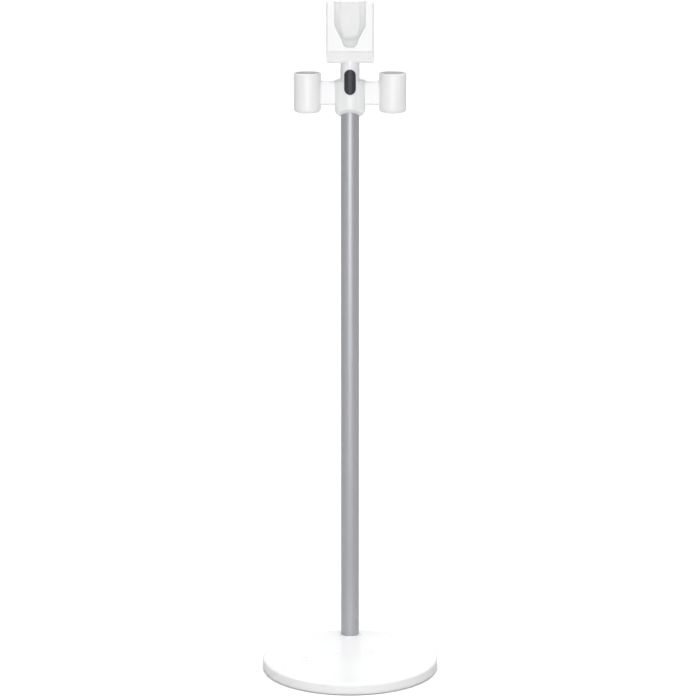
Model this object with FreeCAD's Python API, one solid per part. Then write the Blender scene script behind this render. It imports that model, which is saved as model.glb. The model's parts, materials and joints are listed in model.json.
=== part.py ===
import FreeCAD, Part
import math
import os

# Floor stand for a cordless stick cleaner: a weighted round base, one round tube near the
# base's rear rim, and a plastic head with a slotted dock plate and two tool cups.
# Frame: origin at the centre of the base on the floor, +Z up, the dock plate faces -Y.
# All sizes are in millimetres. Heights are above the floor. Depths in the head are
# measured from the tube's axis, negative towards the front.

Vector = FreeCAD.Vector

# ---- base ----
BASE_RADIUS = 135.0
BASE_TOP_Z = 18.7
BASE_EDGE_RADIUS = 4.0
COVER_WALL = 3.0
COVER_SEAM = 0.4
COVER_INNER_EDGE_RADIUS = 1.5
COVER_LOWER_EDGE_RADIUS = 0.5
COVER_PILOT_CLOSED = 0.5
FOOT_HEIGHT = 1.2
FOOT_RADIUS = 12.0
FOOT_EDGE_RADIUS = 0.5
FOOT_COUNT = 6
FOOT_RIM_GAP = 7.0
FOOT_SEAT_DEPTH = 0.8
PAN_THICKNESS = 2.6
PAN_RIM_INSET = 0.4
PAN_CHAMFER = 0.8
PAN_SCREW_RECESS = 1.2
PAN_RIB_WALL = 1.5
PAN_RIB_HEIGHT = 3.0
WEIGHT_THICKNESS = 8.0
WEIGHT_RIM_GAP = 1.2
BOSS_RADIUS = 4.5
BOSS_CIRCLE_INSET = 35.0
BOSS_ANGLES = (30.0, 150.0, 210.0, 270.0, 330.0)

# ---- tube and its foot ----
COLLAR_RIM_MARGIN = 0.5
TUBE_RADIUS = 14.0
TUBE_WALL = 1.5
TUBE_TOP_Z = 897.0
SOCKET_FLANGE_THICKNESS = 4.0
SOCKET_FLANGE_SIDE = 14.0
SOCKET_FLANGE_TOE = 20.0
SOCKET_FLANGE_HEEL = 2.0
SOCKET_FLANGE_CORNER = 6.0
SOCKET_POCKET_DEPTH = 2.8
SOCKET_SPIGOT_HEIGHT = 40.0
SOCKET_SPIGOT_ROUND = 1.5
SOCKET_KEY_WIDTH = 4.0
SOCKET_KEY_HEIGHT = 2.4
SOCKET_KEY_ROOT = 1.0
SOCKET_SCREW_OFFSET = 7.0
SOCKET_SCREW_SETBACK = 6.0
FOOT_INSERT_HEIGHT = 28.0
BOLT_RADIUS = 4.0
BOLT_HEAD_RADIUS = 7.0
BOLT_HEAD_HEIGHT = 4.4
BOLT_LENGTH = 70.0
WASHER_RADIUS = 7.6
WASHER_THICKNESS = 1.0
TRIM_LIP_WIDTH = 3.4
TRIM_LIP_HEIGHT = 1.2
TRIM_SKIRT_WALL = 1.4
TRIM_OUTER_ROUND = 0.8
TRIM_INNER_ROUND = 0.3

# ---- head: collar, column and the core inside them ----
HEAD_WALL = 2.4
COLLAR_ROOM = 4.6
COLLAR_TUBE_OVERLAP = 51.0
COLLAR_HEIGHT = 56.5
COLLAR_BOTTOM_ROUND = 12.0
COLLAR_TOP_ROUND = 2.5
COLUMN_SIDE_MARGIN = 0.5
COLUMN_PROUD = 2.5
COLUMN_DEPTH = 32.0
COLUMN_INTO_DOCK = 11.0
NECK_HEIGHT = 28.5
CHIN_ANGLE = 29.0
SLEEVE_WALL = 2.4
SLEEVE_BOTTOM_GAP = 3.0
SLEEVE_TOP_CAP = 3.0
BEAM_BACK = 6.0
BEAM_HEIGHT = 16.0
SPINE_HALF_WIDTH = 7.5
SPINE_DEPTH = 11.5
SPINE_SETBACK = 3.0
SPINE_INTO_DOCK = 54.0
HUB_BOSS_RADIUS = 2.3
HUB_BOSS_REACH = 7.0
HUB_BOSS_FLOOR = 1.0
HUB_SCREW_LOW = 20.0
HUB_SCREW_DROP = 5.9

# ---- tool holders: an arm and a cup, once on each side ----
ARM_LENGTH = 20.75
CUP_RADIUS = 20.75
CUP_WALL = 2.4
CUP_FLOOR = 3.0
CUP_HEIGHT = 60.8
CUP_DROP = 11.3
CUP_RIM_ROUND = 1.1
CUP_BOTTOM_ROUND = 6.0
CUP_PAD_THICKNESS = 2.0
CUP_PAD_ROUND = 0.6
ARM_FRONT = -5.5
ARM_BACK = 14.0
ARM_HEIGHT = 35.9
ARM_TOP_DROP = 2.7
ARM_EDGE_ROUND = 3.5
ARM_RIB_WALL = 2.0
ARM_RIB_OFFSET = 3.5
BEAM_END_GAP = 4.25
HOLDER_SCREW_INSET = 6.5
HOLDER_BOSS_RADIUS = 4.0
HOLDER_PILOT_SPARE = 1.0
CAP_THICKNESS = 1.0

# ---- dock ----
DOCK_LIP_WIDTH = 12.5
DOCK_PROUD = 2.0
DOCK_DEPTH = 34.0
DOCK_HEIGHT = 92.5
DOCK_WALL = 2.5
DOCK_SIDE_ROUND = 3.5
DOCK_TOP_ROUND = 1.5
DOCK_BOTTOM_ROUND = 4.5
DOCK_CORNER_ROUND = 2.8
LOWER_TRIM_HEIGHT = 18.0
LOWER_TRIM_SETBACK = 2.5
LOWER_TRIM_GAP = 0.3
FACE_THICKNESS = 3.5
SLOT_HALF_WIDTH = 23.5
SLOT_STRAIGHT = 35.5
SLOT_TAPER = 22.0
SLOT_SEAT_HEIGHT = 11.5
SLOT_NECK_HALF_WIDTH = 12.1
SLOT_UNDERCUT = 3.0
SLOT_RIB_WALL = 1.6
SLOT_SHOULDER_ROUND = 6.0
SLOT_WAIST_ROUND = 4.0
SLOT_SEAT_HALF_WIDTH = 9.0
SLOT_SEAT_ROUNDNESS = 1.1
SLOT_SLANT_SHARE = 0.3
SLOT_DEPTH = 11.0
RAIL_PLATE_THICKNESS = 2.0
TONGUE_SETBACK = 5.0
TONGUE_SIDE_GAP = 8.9
TONGUE_END_HALF_WIDTH = 8.4
TONGUE_LENGTH = 50.0
TONGUE_RAMP_DROP = 9.0
TONGUE_SHOULDER_ROUND = 3.0
TONGUE_END_ROUND = 6.5
DOCK_SCREW_INSET_X = 7.0
DOCK_SCREW_INSET_Z = 9.0
DOCK_BOSS_RADIUS = 3.8
DOCK_SCREW_RECESS = 1.0
DOCK_PILOT_CLOSED = 1.0
SPINE_SCREW_LOW = 13.0
SPINE_SCREW_SPACING = 32.0
SPINE_BOSS_RADIUS = 4.2

# ---- release button, locking plunger and their springs ----
BUTTON_HALF_WIDTH = 8.75
BUTTON_HALF_HEIGHT = 19.25
BUTTON_DROP = 0.4
BUTTON_PROUD = 0.5
BUTTON_FLANGE = 0.8
BUTTON_EDGE_ROUND = 0.5
BUTTON_TRAVEL = 4.0
BEZEL_RIM = 1.3
BEZEL_PROUD = 0.35
PLUNGER_DROP = 9.0
PLUNGER_RADIUS = 3.6
PLUNGER_NOSE_ROUND = 0.6
PLUNGER_COLLAR_RADIUS = 5.0
PLUNGER_COLLAR_THICKNESS = 2.0
PLUNGER_STEM_RADIUS = 2.2
PLUNGER_STEM_LENGTH = 6.0
PLUNGER_BORE_FLOOR = 2.0
TOP_INSERT_HEIGHT = 24.0
BUTTON_BOSS_RADIUS = 3.2
BUTTON_SPRING_RISE = 11.9
BUTTON_PEG_RADIUS = 1.5
BUTTON_PEG_LENGTH = 3.0

# ---- screws: shank radius, head radius, head height, length under the head ----
PAN_SCREW = (1.6, 3.4, 1.2, 10.0)
SOCKET_SCREW = (2.5, 4.6, 2.1, 8.2)
HUB_SCREW = (1.2, 2.1, 1.4, 11.0)
HOLDER_SCREW = (2.0, 3.4, 2.0, 10.0)
DOCK_SCREW = (1.5, 2.8, 1.8, 16.0)
SPINE_SCREW = (2.0, 3.6, 2.2, 13.0)
SCREW_SOCKET_WIDTH = 0.5
SCREW_SOCKET_FLOOR = 0.4

# ---- springs: outer radius, wire radius, turns ----
PLUNGER_COIL = (4.6, 0.7, 5.0)
BUTTON_COIL = (2.9, 0.5, 5.0)

# ---- clearances, the least rounding, how far a tool shape passes what it shapes, a tolerance ----
FIT = 0.1
GAP = 0.3
SEAT = 0.05
LEAST_ROUND = 0.2
OVER = 1.0
SAME = 0.01

# ---- places worked out from the sizes above: the tube and the head ----
TUBE_BORE = TUBE_RADIUS - TUBE_WALL
SLEEVE_BORE = TUBE_RADIUS + FIT
SLEEVE_RADIUS = SLEEVE_BORE + SLEEVE_WALL
COLLAR_RADIUS = SLEEVE_RADIUS + COLLAR_ROOM + HEAD_WALL
TUBE_Y = BASE_RADIUS - COLLAR_RADIUS - COLLAR_RIM_MARGIN
COLLAR_BOTTOM_Z = TUBE_TOP_Z - COLLAR_TUBE_OVERLAP
COLLAR_TOP_Z = COLLAR_BOTTOM_Z + COLLAR_HEIGHT
SLEEVE_BOTTOM_Z = COLLAR_BOTTOM_Z + HEAD_WALL + SLEEVE_BOTTOM_GAP
COLUMN_HALF_WIDTH = TUBE_RADIUS + COLUMN_SIDE_MARGIN
COLUMN_FRONT = -COLLAR_RADIUS - COLUMN_PROUD
COLUMN_HALF_DEPTH = COLUMN_DEPTH / 2
COLUMN_CENTRE = COLUMN_FRONT + COLUMN_HALF_DEPTH
DOCK_BOTTOM_Z = COLLAR_TOP_Z + NECK_HEIGHT
COLUMN_TOP_Z = DOCK_BOTTOM_Z + COLUMN_INTO_DOCK
HUB_BOSS_X = SLEEVE_RADIUS + COLLAR_ROOM / 2
HUB_SCREW_HEIGHTS = (COLLAR_BOTTOM_Z + HUB_SCREW_LOW, COLLAR_TOP_Z - HUB_SCREW_DROP)
ARM_TOP_Z = COLLAR_TOP_Z - ARM_TOP_DROP
ARM_BOTTOM_Z = ARM_TOP_Z - ARM_HEIGHT
ARM_MIDDLE_Z = (ARM_BOTTOM_Z + ARM_TOP_Z) / 2
CUP_BORE = CUP_RADIUS - CUP_WALL
CUP_BORE_ROUND = max(CUP_BOTTOM_ROUND - CUP_WALL, LEAST_ROUND)
CUP_SPACING = COLLAR_RADIUS + ARM_LENGTH + CUP_RADIUS
CUP_BOTTOM_Z = ARM_BOTTOM_Z - CUP_DROP
CUP_TOP_Z = CUP_BOTTOM_Z + CUP_HEIGHT
BEAM_REACH = CUP_SPACING - CUP_RADIUS - BEAM_END_GAP
HOLDER_SCREW_X = BEAM_REACH - HOLDER_SCREW_INSET
ARM_ROOM_FRONT = ARM_FRONT + HEAD_WALL
ARM_ROOM_BACK = ARM_BACK - HEAD_WALL
BEAM_FRONT = ARM_ROOM_FRONT + FIT
HOLDER_SCREW_SEAT = ARM_BACK - CAP_THICKNESS - HOLDER_SCREW[2]

# ---- the base and the tube's foot ----
PAN_TOP_Z = FOOT_HEIGHT + PAN_THICKNESS
COVER_BOTTOM_Z = PAN_TOP_Z + COVER_SEAM
PAN_SCREW_SEAT_Z = FOOT_HEIGHT + PAN_SCREW_RECESS
COVER_UNDER_Z = BASE_TOP_Z - COVER_WALL
COVER_BORE = BASE_RADIUS - COVER_WALL
PAN_RIB_RADIUS = COVER_BORE - GAP
WEIGHT_RADIUS = PAN_RIB_RADIUS - PAN_RIB_WALL - WEIGHT_RIM_GAP
WEIGHT_TOP_Z = PAN_TOP_Z + WEIGHT_THICKNESS
FLANGE_Z = WEIGHT_TOP_Z - SOCKET_POCKET_DEPTH
TUBE_BOTTOM_Z = FLANGE_Z + SOCKET_FLANGE_THICKNESS
SPIGOT_RADIUS = TUBE_BORE - SEAT
SPIGOT_TOP_Z = TUBE_BOTTOM_Z + SOCKET_SPIGOT_HEIGHT
BOLT_SEAT_Z = FLANGE_Z - WASHER_THICKNESS
TRIM_BORE = TUBE_RADIUS + GAP
TRIM_SKIRT_RADIUS = TRIM_BORE + TRIM_SKIRT_WALL
SCREW_SIDE = TUBE_RADIUS + SOCKET_SCREW_OFFSET
SCREW_FRONT = -SCREW_SIDE - SOCKET_SCREW_SETBACK
SOCKET_SCREW_PLACES = [
    (side * SCREW_SIDE, depth)
    for depth in (-SOCKET_SCREW_SETBACK, SCREW_FRONT)
    for side in (-1, 1)
]

# ---- the dock ----
DOCK_HALF_WIDTH = SLOT_HALF_WIDTH + DOCK_LIP_WIDTH
DOCK_FRONT = COLUMN_FRONT - DOCK_PROUD
DOCK_REAR = DOCK_FRONT + DOCK_DEPTH
DOCK_TOP_Z = DOCK_BOTTOM_Z + DOCK_HEIGHT
DOCK_SCREW_SEAT = DOCK_REAR - DOCK_SCREW[2] - DOCK_SCREW_RECESS
LOWER_TRIM_TOP_Z = DOCK_BOTTOM_Z + LOWER_TRIM_HEIGHT
SLOT_TAPER_TOP_Z = DOCK_TOP_Z - SLOT_STRAIGHT
SLOT_TAPER_BOTTOM_Z = SLOT_TAPER_TOP_Z - SLOT_TAPER
SLOT_BOTTOM_Z = SLOT_TAPER_BOTTOM_Z - SLOT_SEAT_HEIGHT
RAIL_PLATE_FRONT = DOCK_FRONT + SLOT_DEPTH
DOCK_SPLIT = RAIL_PLATE_FRONT + RAIL_PLATE_THICKNESS
TONGUE_FRONT = DOCK_FRONT + TONGUE_SETBACK
TONGUE_HALF_WIDTH = SLOT_HALF_WIDTH - TONGUE_SIDE_GAP
TONGUE_END_Z = DOCK_TOP_Z - TONGUE_LENGTH
SPINE_FRONT = DOCK_SPLIT + SPINE_SETBACK
SPINE_REAR = SPINE_FRONT + SPINE_DEPTH
SPINE_SCREW_HEIGHTS = [
    DOCK_BOTTOM_Z + SPINE_SCREW_LOW,
    DOCK_BOTTOM_Z + SPINE_SCREW_LOW + SPINE_SCREW_SPACING,
]

# ---- the button and the plunger ----
BUTTON_CENTRE_Z = COLLAR_TOP_Z - BUTTON_DROP
BUTTON_BACK = -SLEEVE_RADIUS - GAP - BUTTON_TRAVEL - BUTTON_FLANGE
BUTTON_SPRING_Z = BUTTON_CENTRE_Z + BUTTON_SPRING_RISE
PLUNGER_Z = TUBE_TOP_Z - PLUNGER_DROP
PLUNGER_NOSE = -TUBE_RADIUS - BUTTON_TRAVEL
PLUNGER_COLLAR_FRONT = -math.sqrt(TUBE_BORE ** 2 - PLUNGER_COLLAR_RADIUS ** 2) + GAP
PLUNGER_COLLAR_BACK = PLUNGER_COLLAR_FRONT + PLUNGER_COLLAR_THICKNESS
TOP_INSERT_BOTTOM_Z = TUBE_TOP_Z - TOP_INSERT_HEIGHT

# ---------------------------------------------------------------- shape helpers


def flat(u, v):
    """Point of a level outline."""
    return Vector(u, v, 0)


def upright(u, v):
    """Point of an outline in the X-Z plane."""
    return Vector(u, 0, v)


def sideways(u, v):
    """Point of an outline in the Y-Z plane."""
    return Vector(0, u, v)


def outline(corners, place):
    """Closed face through corners (u, v, radius), each rounded by its own radius."""
    arcs = []
    for index, (u, v, radius) in enumerate(corners):
        here = Vector(u, v, 0)
        before = Vector(corners[index - 1][0], corners[index - 1][1], 0) - here
        following = corners[(index + 1) % len(corners)]
        after = Vector(following[0], following[1], 0) - here
        if radius == 0:
            arcs.append((here, None, here))
            continue
        before.normalize()
        after.normalize()
        half_angle = before.getAngle(after) / 2
        reach = radius / math.tan(half_angle)
        inward = before + after
        inward.normalize()
        middle = here + inward * (radius / math.sin(half_angle) - radius)
        arcs.append((here + before * reach, middle, here + after * reach))
    edges = []
    for index, (start, middle, end) in enumerate(arcs):
        if middle is not None:
            points = [place(p.x, p.y) for p in (start, middle, end)]
            edges.append(Part.Arc(*points).toShape())
        next_start = arcs[(index + 1) % len(arcs)][0]
        if (next_start - end).Length > 1e-6:
            line = Part.LineSegment(place(end.x, end.y), place(next_start.x, next_start.y))
            edges.append(line.toShape())
    return Part.Face(Part.Wire(edges))


def slab(corners, z0, z1):
    """Level outline between two heights."""
    face = outline(corners, flat)
    face.translate(Vector(0, 0, z0))
    return face.extrude(Vector(0, 0, z1 - z0))


def plate_y(corners, y0, y1):
    """X-Z outline between two depths, measured from the tube's axis."""
    face = outline(corners, upright)
    face.translate(Vector(0, TUBE_Y + y0, 0))
    return face.extrude(Vector(0, y1 - y0, 0))


def bar_x(corners, x0, x1):
    """Y-Z outline, depths from the tube's axis, between two X places."""
    face = outline(corners, sideways)
    face.translate(Vector(x0, TUBE_Y, 0))
    return face.extrude(Vector(x1 - x0, 0, 0))


def turned(corners, x=0.0, y=0.0):
    """Outline (radius, height, rounding) turned about an upright axis."""
    solid = outline(corners, upright).revolve(Vector(0, 0, 0), Vector(0, 0, 1), 360)
    solid.translate(Vector(x, y, 0))
    return solid


def block(x0, x1, y0, y1, z0, z1):
    """Box with depths from the tube's axis."""
    corner = Vector(x0, TUBE_Y + y0, z0)
    return Part.makeBox(x1 - x0, y1 - y0, z1 - z0, corner)


def rod_z(radius, z0, z1, x=0.0, y=0.0):
    """Upright cylinder."""
    return Part.makeCylinder(radius, z1 - z0, Vector(x, y, z0))


def rod_y(radius, y0, y1, x, z):
    """Cylinder along Y between two depths, measured from the tube's axis."""
    return Part.makeCylinder(radius, y1 - y0, Vector(x, TUBE_Y + y0, z), Vector(0, 1, 0))


def at_tube(radius, z0, z1):
    """Upright cylinder on the tube's axis."""
    return rod_z(radius, z0, z1, 0, TUBE_Y)


def rectangle(half_width, low, high, radius):
    """Corners of a rectangle, rounded all round."""
    return [
        (-half_width, low, radius),
        (half_width, low, radius),
        (half_width, high, radius),
        (-half_width, high, radius),
    ]


def pill(half_width, half_height):
    """Corners of the button's upright pill shape."""
    low = BUTTON_CENTRE_Z - half_height
    high = BUTTON_CENTRE_Z + half_height
    return rectangle(half_width, low, high, half_width)


def column(shrink, z0, z1):
    """The head's oval column, made smaller all round by shrink."""
    half_x = COLUMN_HALF_WIDTH - shrink
    half_y = COLUMN_HALF_DEPTH - shrink
    centre = Vector(0, TUBE_Y + COLUMN_CENTRE, z0)
    ends = [centre + Vector(half_x, 0, 0), centre + Vector(0, half_y, 0)]
    if half_y > half_x:
        ends.reverse()
    oval = Part.Ellipse(ends[0], ends[1], centre)
    face = Part.Face(Part.Wire([oval.toShape()]))
    return face.extrude(Vector(0, 0, z1 - z0))


def fuse(first, *others):
    """One solid from pieces that meet."""
    return first.fuse(list(others)).removeSplitter()


def mirrored(shape):
    """The same shape on the other side of the stand."""
    return shape.mirror(Vector(0, 0, 0), Vector(1, 0, 0))


def aimed(shape, place, direction):
    """Moves a shape built along +Z so that it points along direction from place."""
    turned_shape = shape.copy()
    turned_shape.Placement = FreeCAD.Placement(place, FreeCAD.Rotation(Vector(0, 0, 1), direction))
    return turned_shape


def screw(sizes):
    """Cylinder-head screw with a hexagon socket: head below Z = 0, shank above."""
    shank_radius, head_radius, head_height, length = sizes
    head = rod_z(head_radius, -head_height, 0)
    socket_radius = head_radius * SCREW_SOCKET_WIDTH
    corners = []
    for step in range(6):
        angle = math.radians(60 * step)
        corners.append((socket_radius * math.cos(angle), socket_radius * math.sin(angle), 0))
    socket = slab(corners, -head_height, -head_height * SCREW_SOCKET_FLOOR)
    return fuse(head, rod_z(shank_radius, 0, length)).cut(socket)


def countersunk(sizes, clearance):
    """Countersunk screw, or its hole: head's flat at Z = 0, pointing up."""
    shank_radius, head_radius, head_height, length = sizes
    cone = Part.makeCone(head_radius + clearance, shank_radius + clearance, head_height)
    return fuse(cone, rod_z(shank_radius + clearance, 0, length))


def coil(sizes, length):
    """Compression spring along +Z from Z = 0."""
    outer_radius, wire_radius, turns = sizes
    path_radius = outer_radius - wire_radius
    height = length - 2 * wire_radius
    path = Part.Wire(Part.makeHelix(height / turns, height, path_radius))
    path.translate(Vector(0, 0, wire_radius))
    start = Vector(path_radius, 0, wire_radius)
    section = Part.Wire(Part.Circle(start, Vector(0, 1, 0), wire_radius).toShape())
    return path.makePipeShell([section], True, True)


def group(shapes):
    """Separate solids that share one node."""
    return Part.makeCompound(shapes)


# ---------------------------------------------------------------- base

BOSS_CIRCLE = BASE_RADIUS - BOSS_CIRCLE_INSET
FOOT_CIRCLE = BASE_RADIUS - FOOT_RIM_GAP - FOOT_RADIUS
boss_places = [
    (BOSS_CIRCLE * math.cos(math.radians(a)), BOSS_CIRCLE * math.sin(math.radians(a)))
    for a in BOSS_ANGLES
]
foot_places = [
    (
        FOOT_CIRCLE * math.cos(2 * math.pi * n / FOOT_COUNT),
        FOOT_CIRCLE * math.sin(2 * math.pi * n / FOOT_COUNT),
    )
    for n in range(FOOT_COUNT)
]


def base_cover():
    """Glossy moulded lid with screw bosses under it and a hole for the tube."""
    shell = turned(
        [
            (0, COVER_UNDER_Z, 0),
            (COVER_BORE, COVER_UNDER_Z, COVER_INNER_EDGE_RADIUS),
            (COVER_BORE, COVER_BOTTOM_Z, 0),
            (BASE_RADIUS, COVER_BOTTOM_Z, COVER_LOWER_EDGE_RADIUS),
            (BASE_RADIUS, BASE_TOP_Z, BASE_EDGE_RADIUS),
            (0, BASE_TOP_Z, 0),
        ]
    )
    bosses = [rod_z(BOSS_RADIUS, PAN_TOP_Z, COVER_UNDER_Z, x, y) for x, y in boss_places]
    cover = fuse(shell, *bosses)
    pilot_top = COVER_UNDER_Z - COVER_PILOT_CLOSED
    for x, y in boss_places:
        cover = cover.cut(rod_z(PAN_SCREW[0], PAN_TOP_Z, pilot_top, x, y))
    return cover.cut(at_tube(TRIM_SKIRT_RADIUS + FIT, COVER_UNDER_Z, BASE_TOP_Z))


def base_pan():
    """Bottom tray: chamfered rim, locating rib, seats for the feet, holes for fixings."""
    rim = BASE_RADIUS - PAN_RIM_INSET
    tray = turned(
        [
            (0, FOOT_HEIGHT, 0),
            (rim - PAN_CHAMFER, FOOT_HEIGHT, 0),
            (rim, FOOT_HEIGHT + PAN_CHAMFER, 0),
            (rim, PAN_TOP_Z, 0),
            (PAN_RIB_RADIUS, PAN_TOP_Z, 0),
            (PAN_RIB_RADIUS, PAN_TOP_Z + PAN_RIB_HEIGHT, 0),
            (PAN_RIB_RADIUS - PAN_RIB_WALL, PAN_TOP_Z + PAN_RIB_HEIGHT, 0),
            (PAN_RIB_RADIUS - PAN_RIB_WALL, PAN_TOP_Z, 0),
            (0, PAN_TOP_Z, 0),
        ]
    )
    cuts = [at_tube(WASHER_RADIUS + GAP, FOOT_HEIGHT, PAN_TOP_Z)]
    for x, y in boss_places:
        cuts.append(rod_z(PAN_SCREW[0] + GAP, FOOT_HEIGHT, PAN_TOP_Z, x, y))
        cuts.append(rod_z(PAN_SCREW[1] + GAP, FOOT_HEIGHT, PAN_SCREW_SEAT_Z, x, y))
    seat_z = FOOT_HEIGHT + FOOT_SEAT_DEPTH
    for x, y in foot_places:
        cuts.append(rod_z(FOOT_RADIUS + FIT, FOOT_HEIGHT, seat_z, x, y))
    return tray.cut(cuts)


def base_weight():
    """Iron ballast disc with clearance for the bosses and a pocket for the tube socket."""
    disc = rod_z(WEIGHT_RADIUS, PAN_TOP_Z, WEIGHT_TOP_Z)
    cuts = [flange_plate(GAP, FLANGE_Z, WEIGHT_TOP_Z)]
    cuts.append(at_tube(WASHER_RADIUS + GAP, PAN_TOP_Z, FLANGE_Z))
    for x, y in boss_places:
        cuts.append(rod_z(BOSS_RADIUS + GAP, PAN_TOP_Z, WEIGHT_TOP_Z, x, y))
    for x, y in SOCKET_SCREW_PLACES:
        cuts.append(rod_z(SOCKET_SCREW[0], PAN_TOP_Z, FLANGE_Z, x, TUBE_Y + y))
    return disc.cut(cuts)


def rubber_foot(x, y):
    """One round pad."""
    foot = turned(
        [
            (0, 0, 0),
            (FOOT_RADIUS, 0, FOOT_EDGE_RADIUS),
            (FOOT_RADIUS, FOOT_HEIGHT + FOOT_SEAT_DEPTH, 0),
            (0, FOOT_HEIGHT + FOOT_SEAT_DEPTH, 0),
        ],
        x,
        y,
    )
    return foot


def pan_screw(x, y):
    """One screw from below, through the tray into a boss."""
    return aimed(screw(PAN_SCREW), Vector(x, y, PAN_SCREW_SEAT_Z), Vector(0, 0, 1))


# ---------------------------------------------------------------- tube


def flange_plate(offset, z0, z1):
    """The socket's flange, larger all round by offset; its rear follows the base's rim."""
    half_width = TUBE_RADIUS + SOCKET_FLANGE_SIDE + offset
    front = TUBE_Y - TUBE_RADIUS - SOCKET_FLANGE_TOE - offset
    rear_round = TUBE_RADIUS + SOCKET_FLANGE_HEEL + offset
    rear = TUBE_Y + rear_round
    corners = [
        (-half_width, front, SOCKET_FLANGE_CORNER + offset),
        (half_width, front, SOCKET_FLANGE_CORNER + offset),
        (half_width, rear, rear_round),
        (-half_width, rear, rear_round),
    ]
    return slab(corners, z0, z1)


def socket_key(clearance, top):
    """Block in front of the spigot that stops the tube from turning."""
    half_width = SOCKET_KEY_WIDTH / 2 + clearance
    outer = -TUBE_RADIUS - clearance
    inner = -SPIGOT_RADIUS + SOCKET_KEY_ROOT
    return block(-half_width, half_width, outer, inner, TUBE_BOTTOM_Z, top)


def tube_socket():
    """Cast flange and spigot that carry the tube."""
    spigot = turned(
        [
            (0, FLANGE_Z, 0),
            (SPIGOT_RADIUS, FLANGE_Z, 0),
            (SPIGOT_RADIUS, SPIGOT_TOP_Z, SOCKET_SPIGOT_ROUND),
            (0, SPIGOT_TOP_Z, 0),
        ],
        0,
        TUBE_Y,
    )
    flange = flange_plate(0, FLANGE_Z, TUBE_BOTTOM_Z)
    key = socket_key(0, TUBE_BOTTOM_Z + SOCKET_KEY_HEIGHT)
    socket = fuse(flange, spigot, key)
    socket = socket.cut(at_tube(BOLT_RADIUS + GAP, FLANGE_Z, SPIGOT_TOP_Z))
    for x, y in SOCKET_SCREW_PLACES:
        hole = countersunk(SOCKET_SCREW, FIT)
        place = Vector(x, TUBE_Y + y, TUBE_BOTTOM_Z)
        socket = socket.cut(aimed(hole, place, Vector(0, 0, -1)))
    return socket


def socket_screw(x, y):
    """One countersunk screw through the flange into the ballast."""
    place = Vector(x, TUBE_Y + y, TUBE_BOTTOM_Z)
    return aimed(countersunk(SOCKET_SCREW, 0), place, Vector(0, 0, -1))


def tube_bolt():
    """Long bolt from below that pulls the tube down onto its socket."""
    sizes = (BOLT_RADIUS, BOLT_HEAD_RADIUS, BOLT_HEAD_HEIGHT, BOLT_LENGTH)
    return aimed(screw(sizes), Vector(0, TUBE_Y, BOLT_SEAT_Z), Vector(0, 0, 1))


def bolt_washer():
    """Washer under the bolt's head."""
    ring = at_tube(WASHER_RADIUS, BOLT_SEAT_Z, FLANGE_Z)
    return ring.cut(at_tube(BOLT_RADIUS + FIT, BOLT_SEAT_Z, FLANGE_Z))


def tube_foot_insert():
    """Threaded plug fixed inside the tube above the spigot."""
    low = SPIGOT_TOP_Z + GAP
    plug = at_tube(SPIGOT_RADIUS, low, low + FOOT_INSERT_HEIGHT)
    return plug.cut(at_tube(BOLT_RADIUS, low, low + FOOT_INSERT_HEIGHT))


def tube():
    """Round tube with a notch over the key and a hole for the locking plunger."""
    wall = at_tube(TUBE_RADIUS, TUBE_BOTTOM_Z, TUBE_TOP_Z)
    wall = wall.cut(at_tube(TUBE_BORE, TUBE_BOTTOM_Z, TUBE_TOP_Z))
    wall = wall.cut(socket_key(FIT, TUBE_BOTTOM_Z + SOCKET_KEY_HEIGHT + FIT))
    return wall.cut(rod_y(PLUNGER_RADIUS + FIT, -TUBE_RADIUS - GAP, 0, 0, PLUNGER_Z))


def tube_trim_ring():
    """Thin collar that closes the gap between the tube and the base cover."""
    lip_radius = TRIM_SKIRT_RADIUS + TRIM_LIP_WIDTH - TRIM_SKIRT_WALL
    return turned(
        [
            (TRIM_BORE, COVER_UNDER_Z, 0),
            (TRIM_SKIRT_RADIUS, COVER_UNDER_Z, 0),
            (TRIM_SKIRT_RADIUS, BASE_TOP_Z, 0),
            (lip_radius, BASE_TOP_Z, 0),
            (lip_radius, BASE_TOP_Z + TRIM_LIP_HEIGHT, TRIM_OUTER_ROUND),
            (TRIM_BORE, BASE_TOP_Z + TRIM_LIP_HEIGHT, TRIM_INNER_ROUND),
        ],
        0,
        TUBE_Y,
    )


def tube_top_insert():
    """Plug in the tube's upper end that guides the plunger and backs its spring."""
    plug = at_tube(TUBE_BORE - SEAT, TOP_INSERT_BOTTOM_Z, TUBE_TOP_Z)
    bore = rod_y(PLUNGER_COLLAR_RADIUS + FIT, -TUBE_BORE, PLUNGER_BORE_FLOOR, 0, PLUNGER_Z)
    return plug.cut(bore)


# ---------------------------------------------------------------- button and plunger


def lock_plunger():
    """Pin through the sleeve and the tube's wall, with a collar and a spring stem."""
    nose = rod_y(PLUNGER_RADIUS, PLUNGER_NOSE, PLUNGER_COLLAR_FRONT, 0, PLUNGER_Z)
    nose_edge = [e for e in nose.Edges if abs(e.BoundBox.YMax - TUBE_Y - PLUNGER_NOSE) < SAME]
    nose = nose.makeFillet(PLUNGER_NOSE_ROUND, nose_edge)
    wide = rod_y(
        PLUNGER_COLLAR_RADIUS, PLUNGER_COLLAR_FRONT, PLUNGER_COLLAR_BACK, 0, PLUNGER_Z
    )
    stem_end = PLUNGER_COLLAR_BACK + PLUNGER_STEM_LENGTH
    stem = rod_y(PLUNGER_STEM_RADIUS, PLUNGER_COLLAR_BACK, stem_end, 0, PLUNGER_Z)
    return fuse(nose, wide, stem)


def plunger_spring():
    """Spring between the plunger's collar and the floor of its bore."""
    length = PLUNGER_BORE_FLOOR - PLUNGER_COLLAR_BACK - 2 * SEAT
    place = Vector(0, TUBE_Y + PLUNGER_COLLAR_BACK + SEAT, PLUNGER_Z)
    return aimed(coil(PLUNGER_COIL, length), place, Vector(0, 1, 0))


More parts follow.
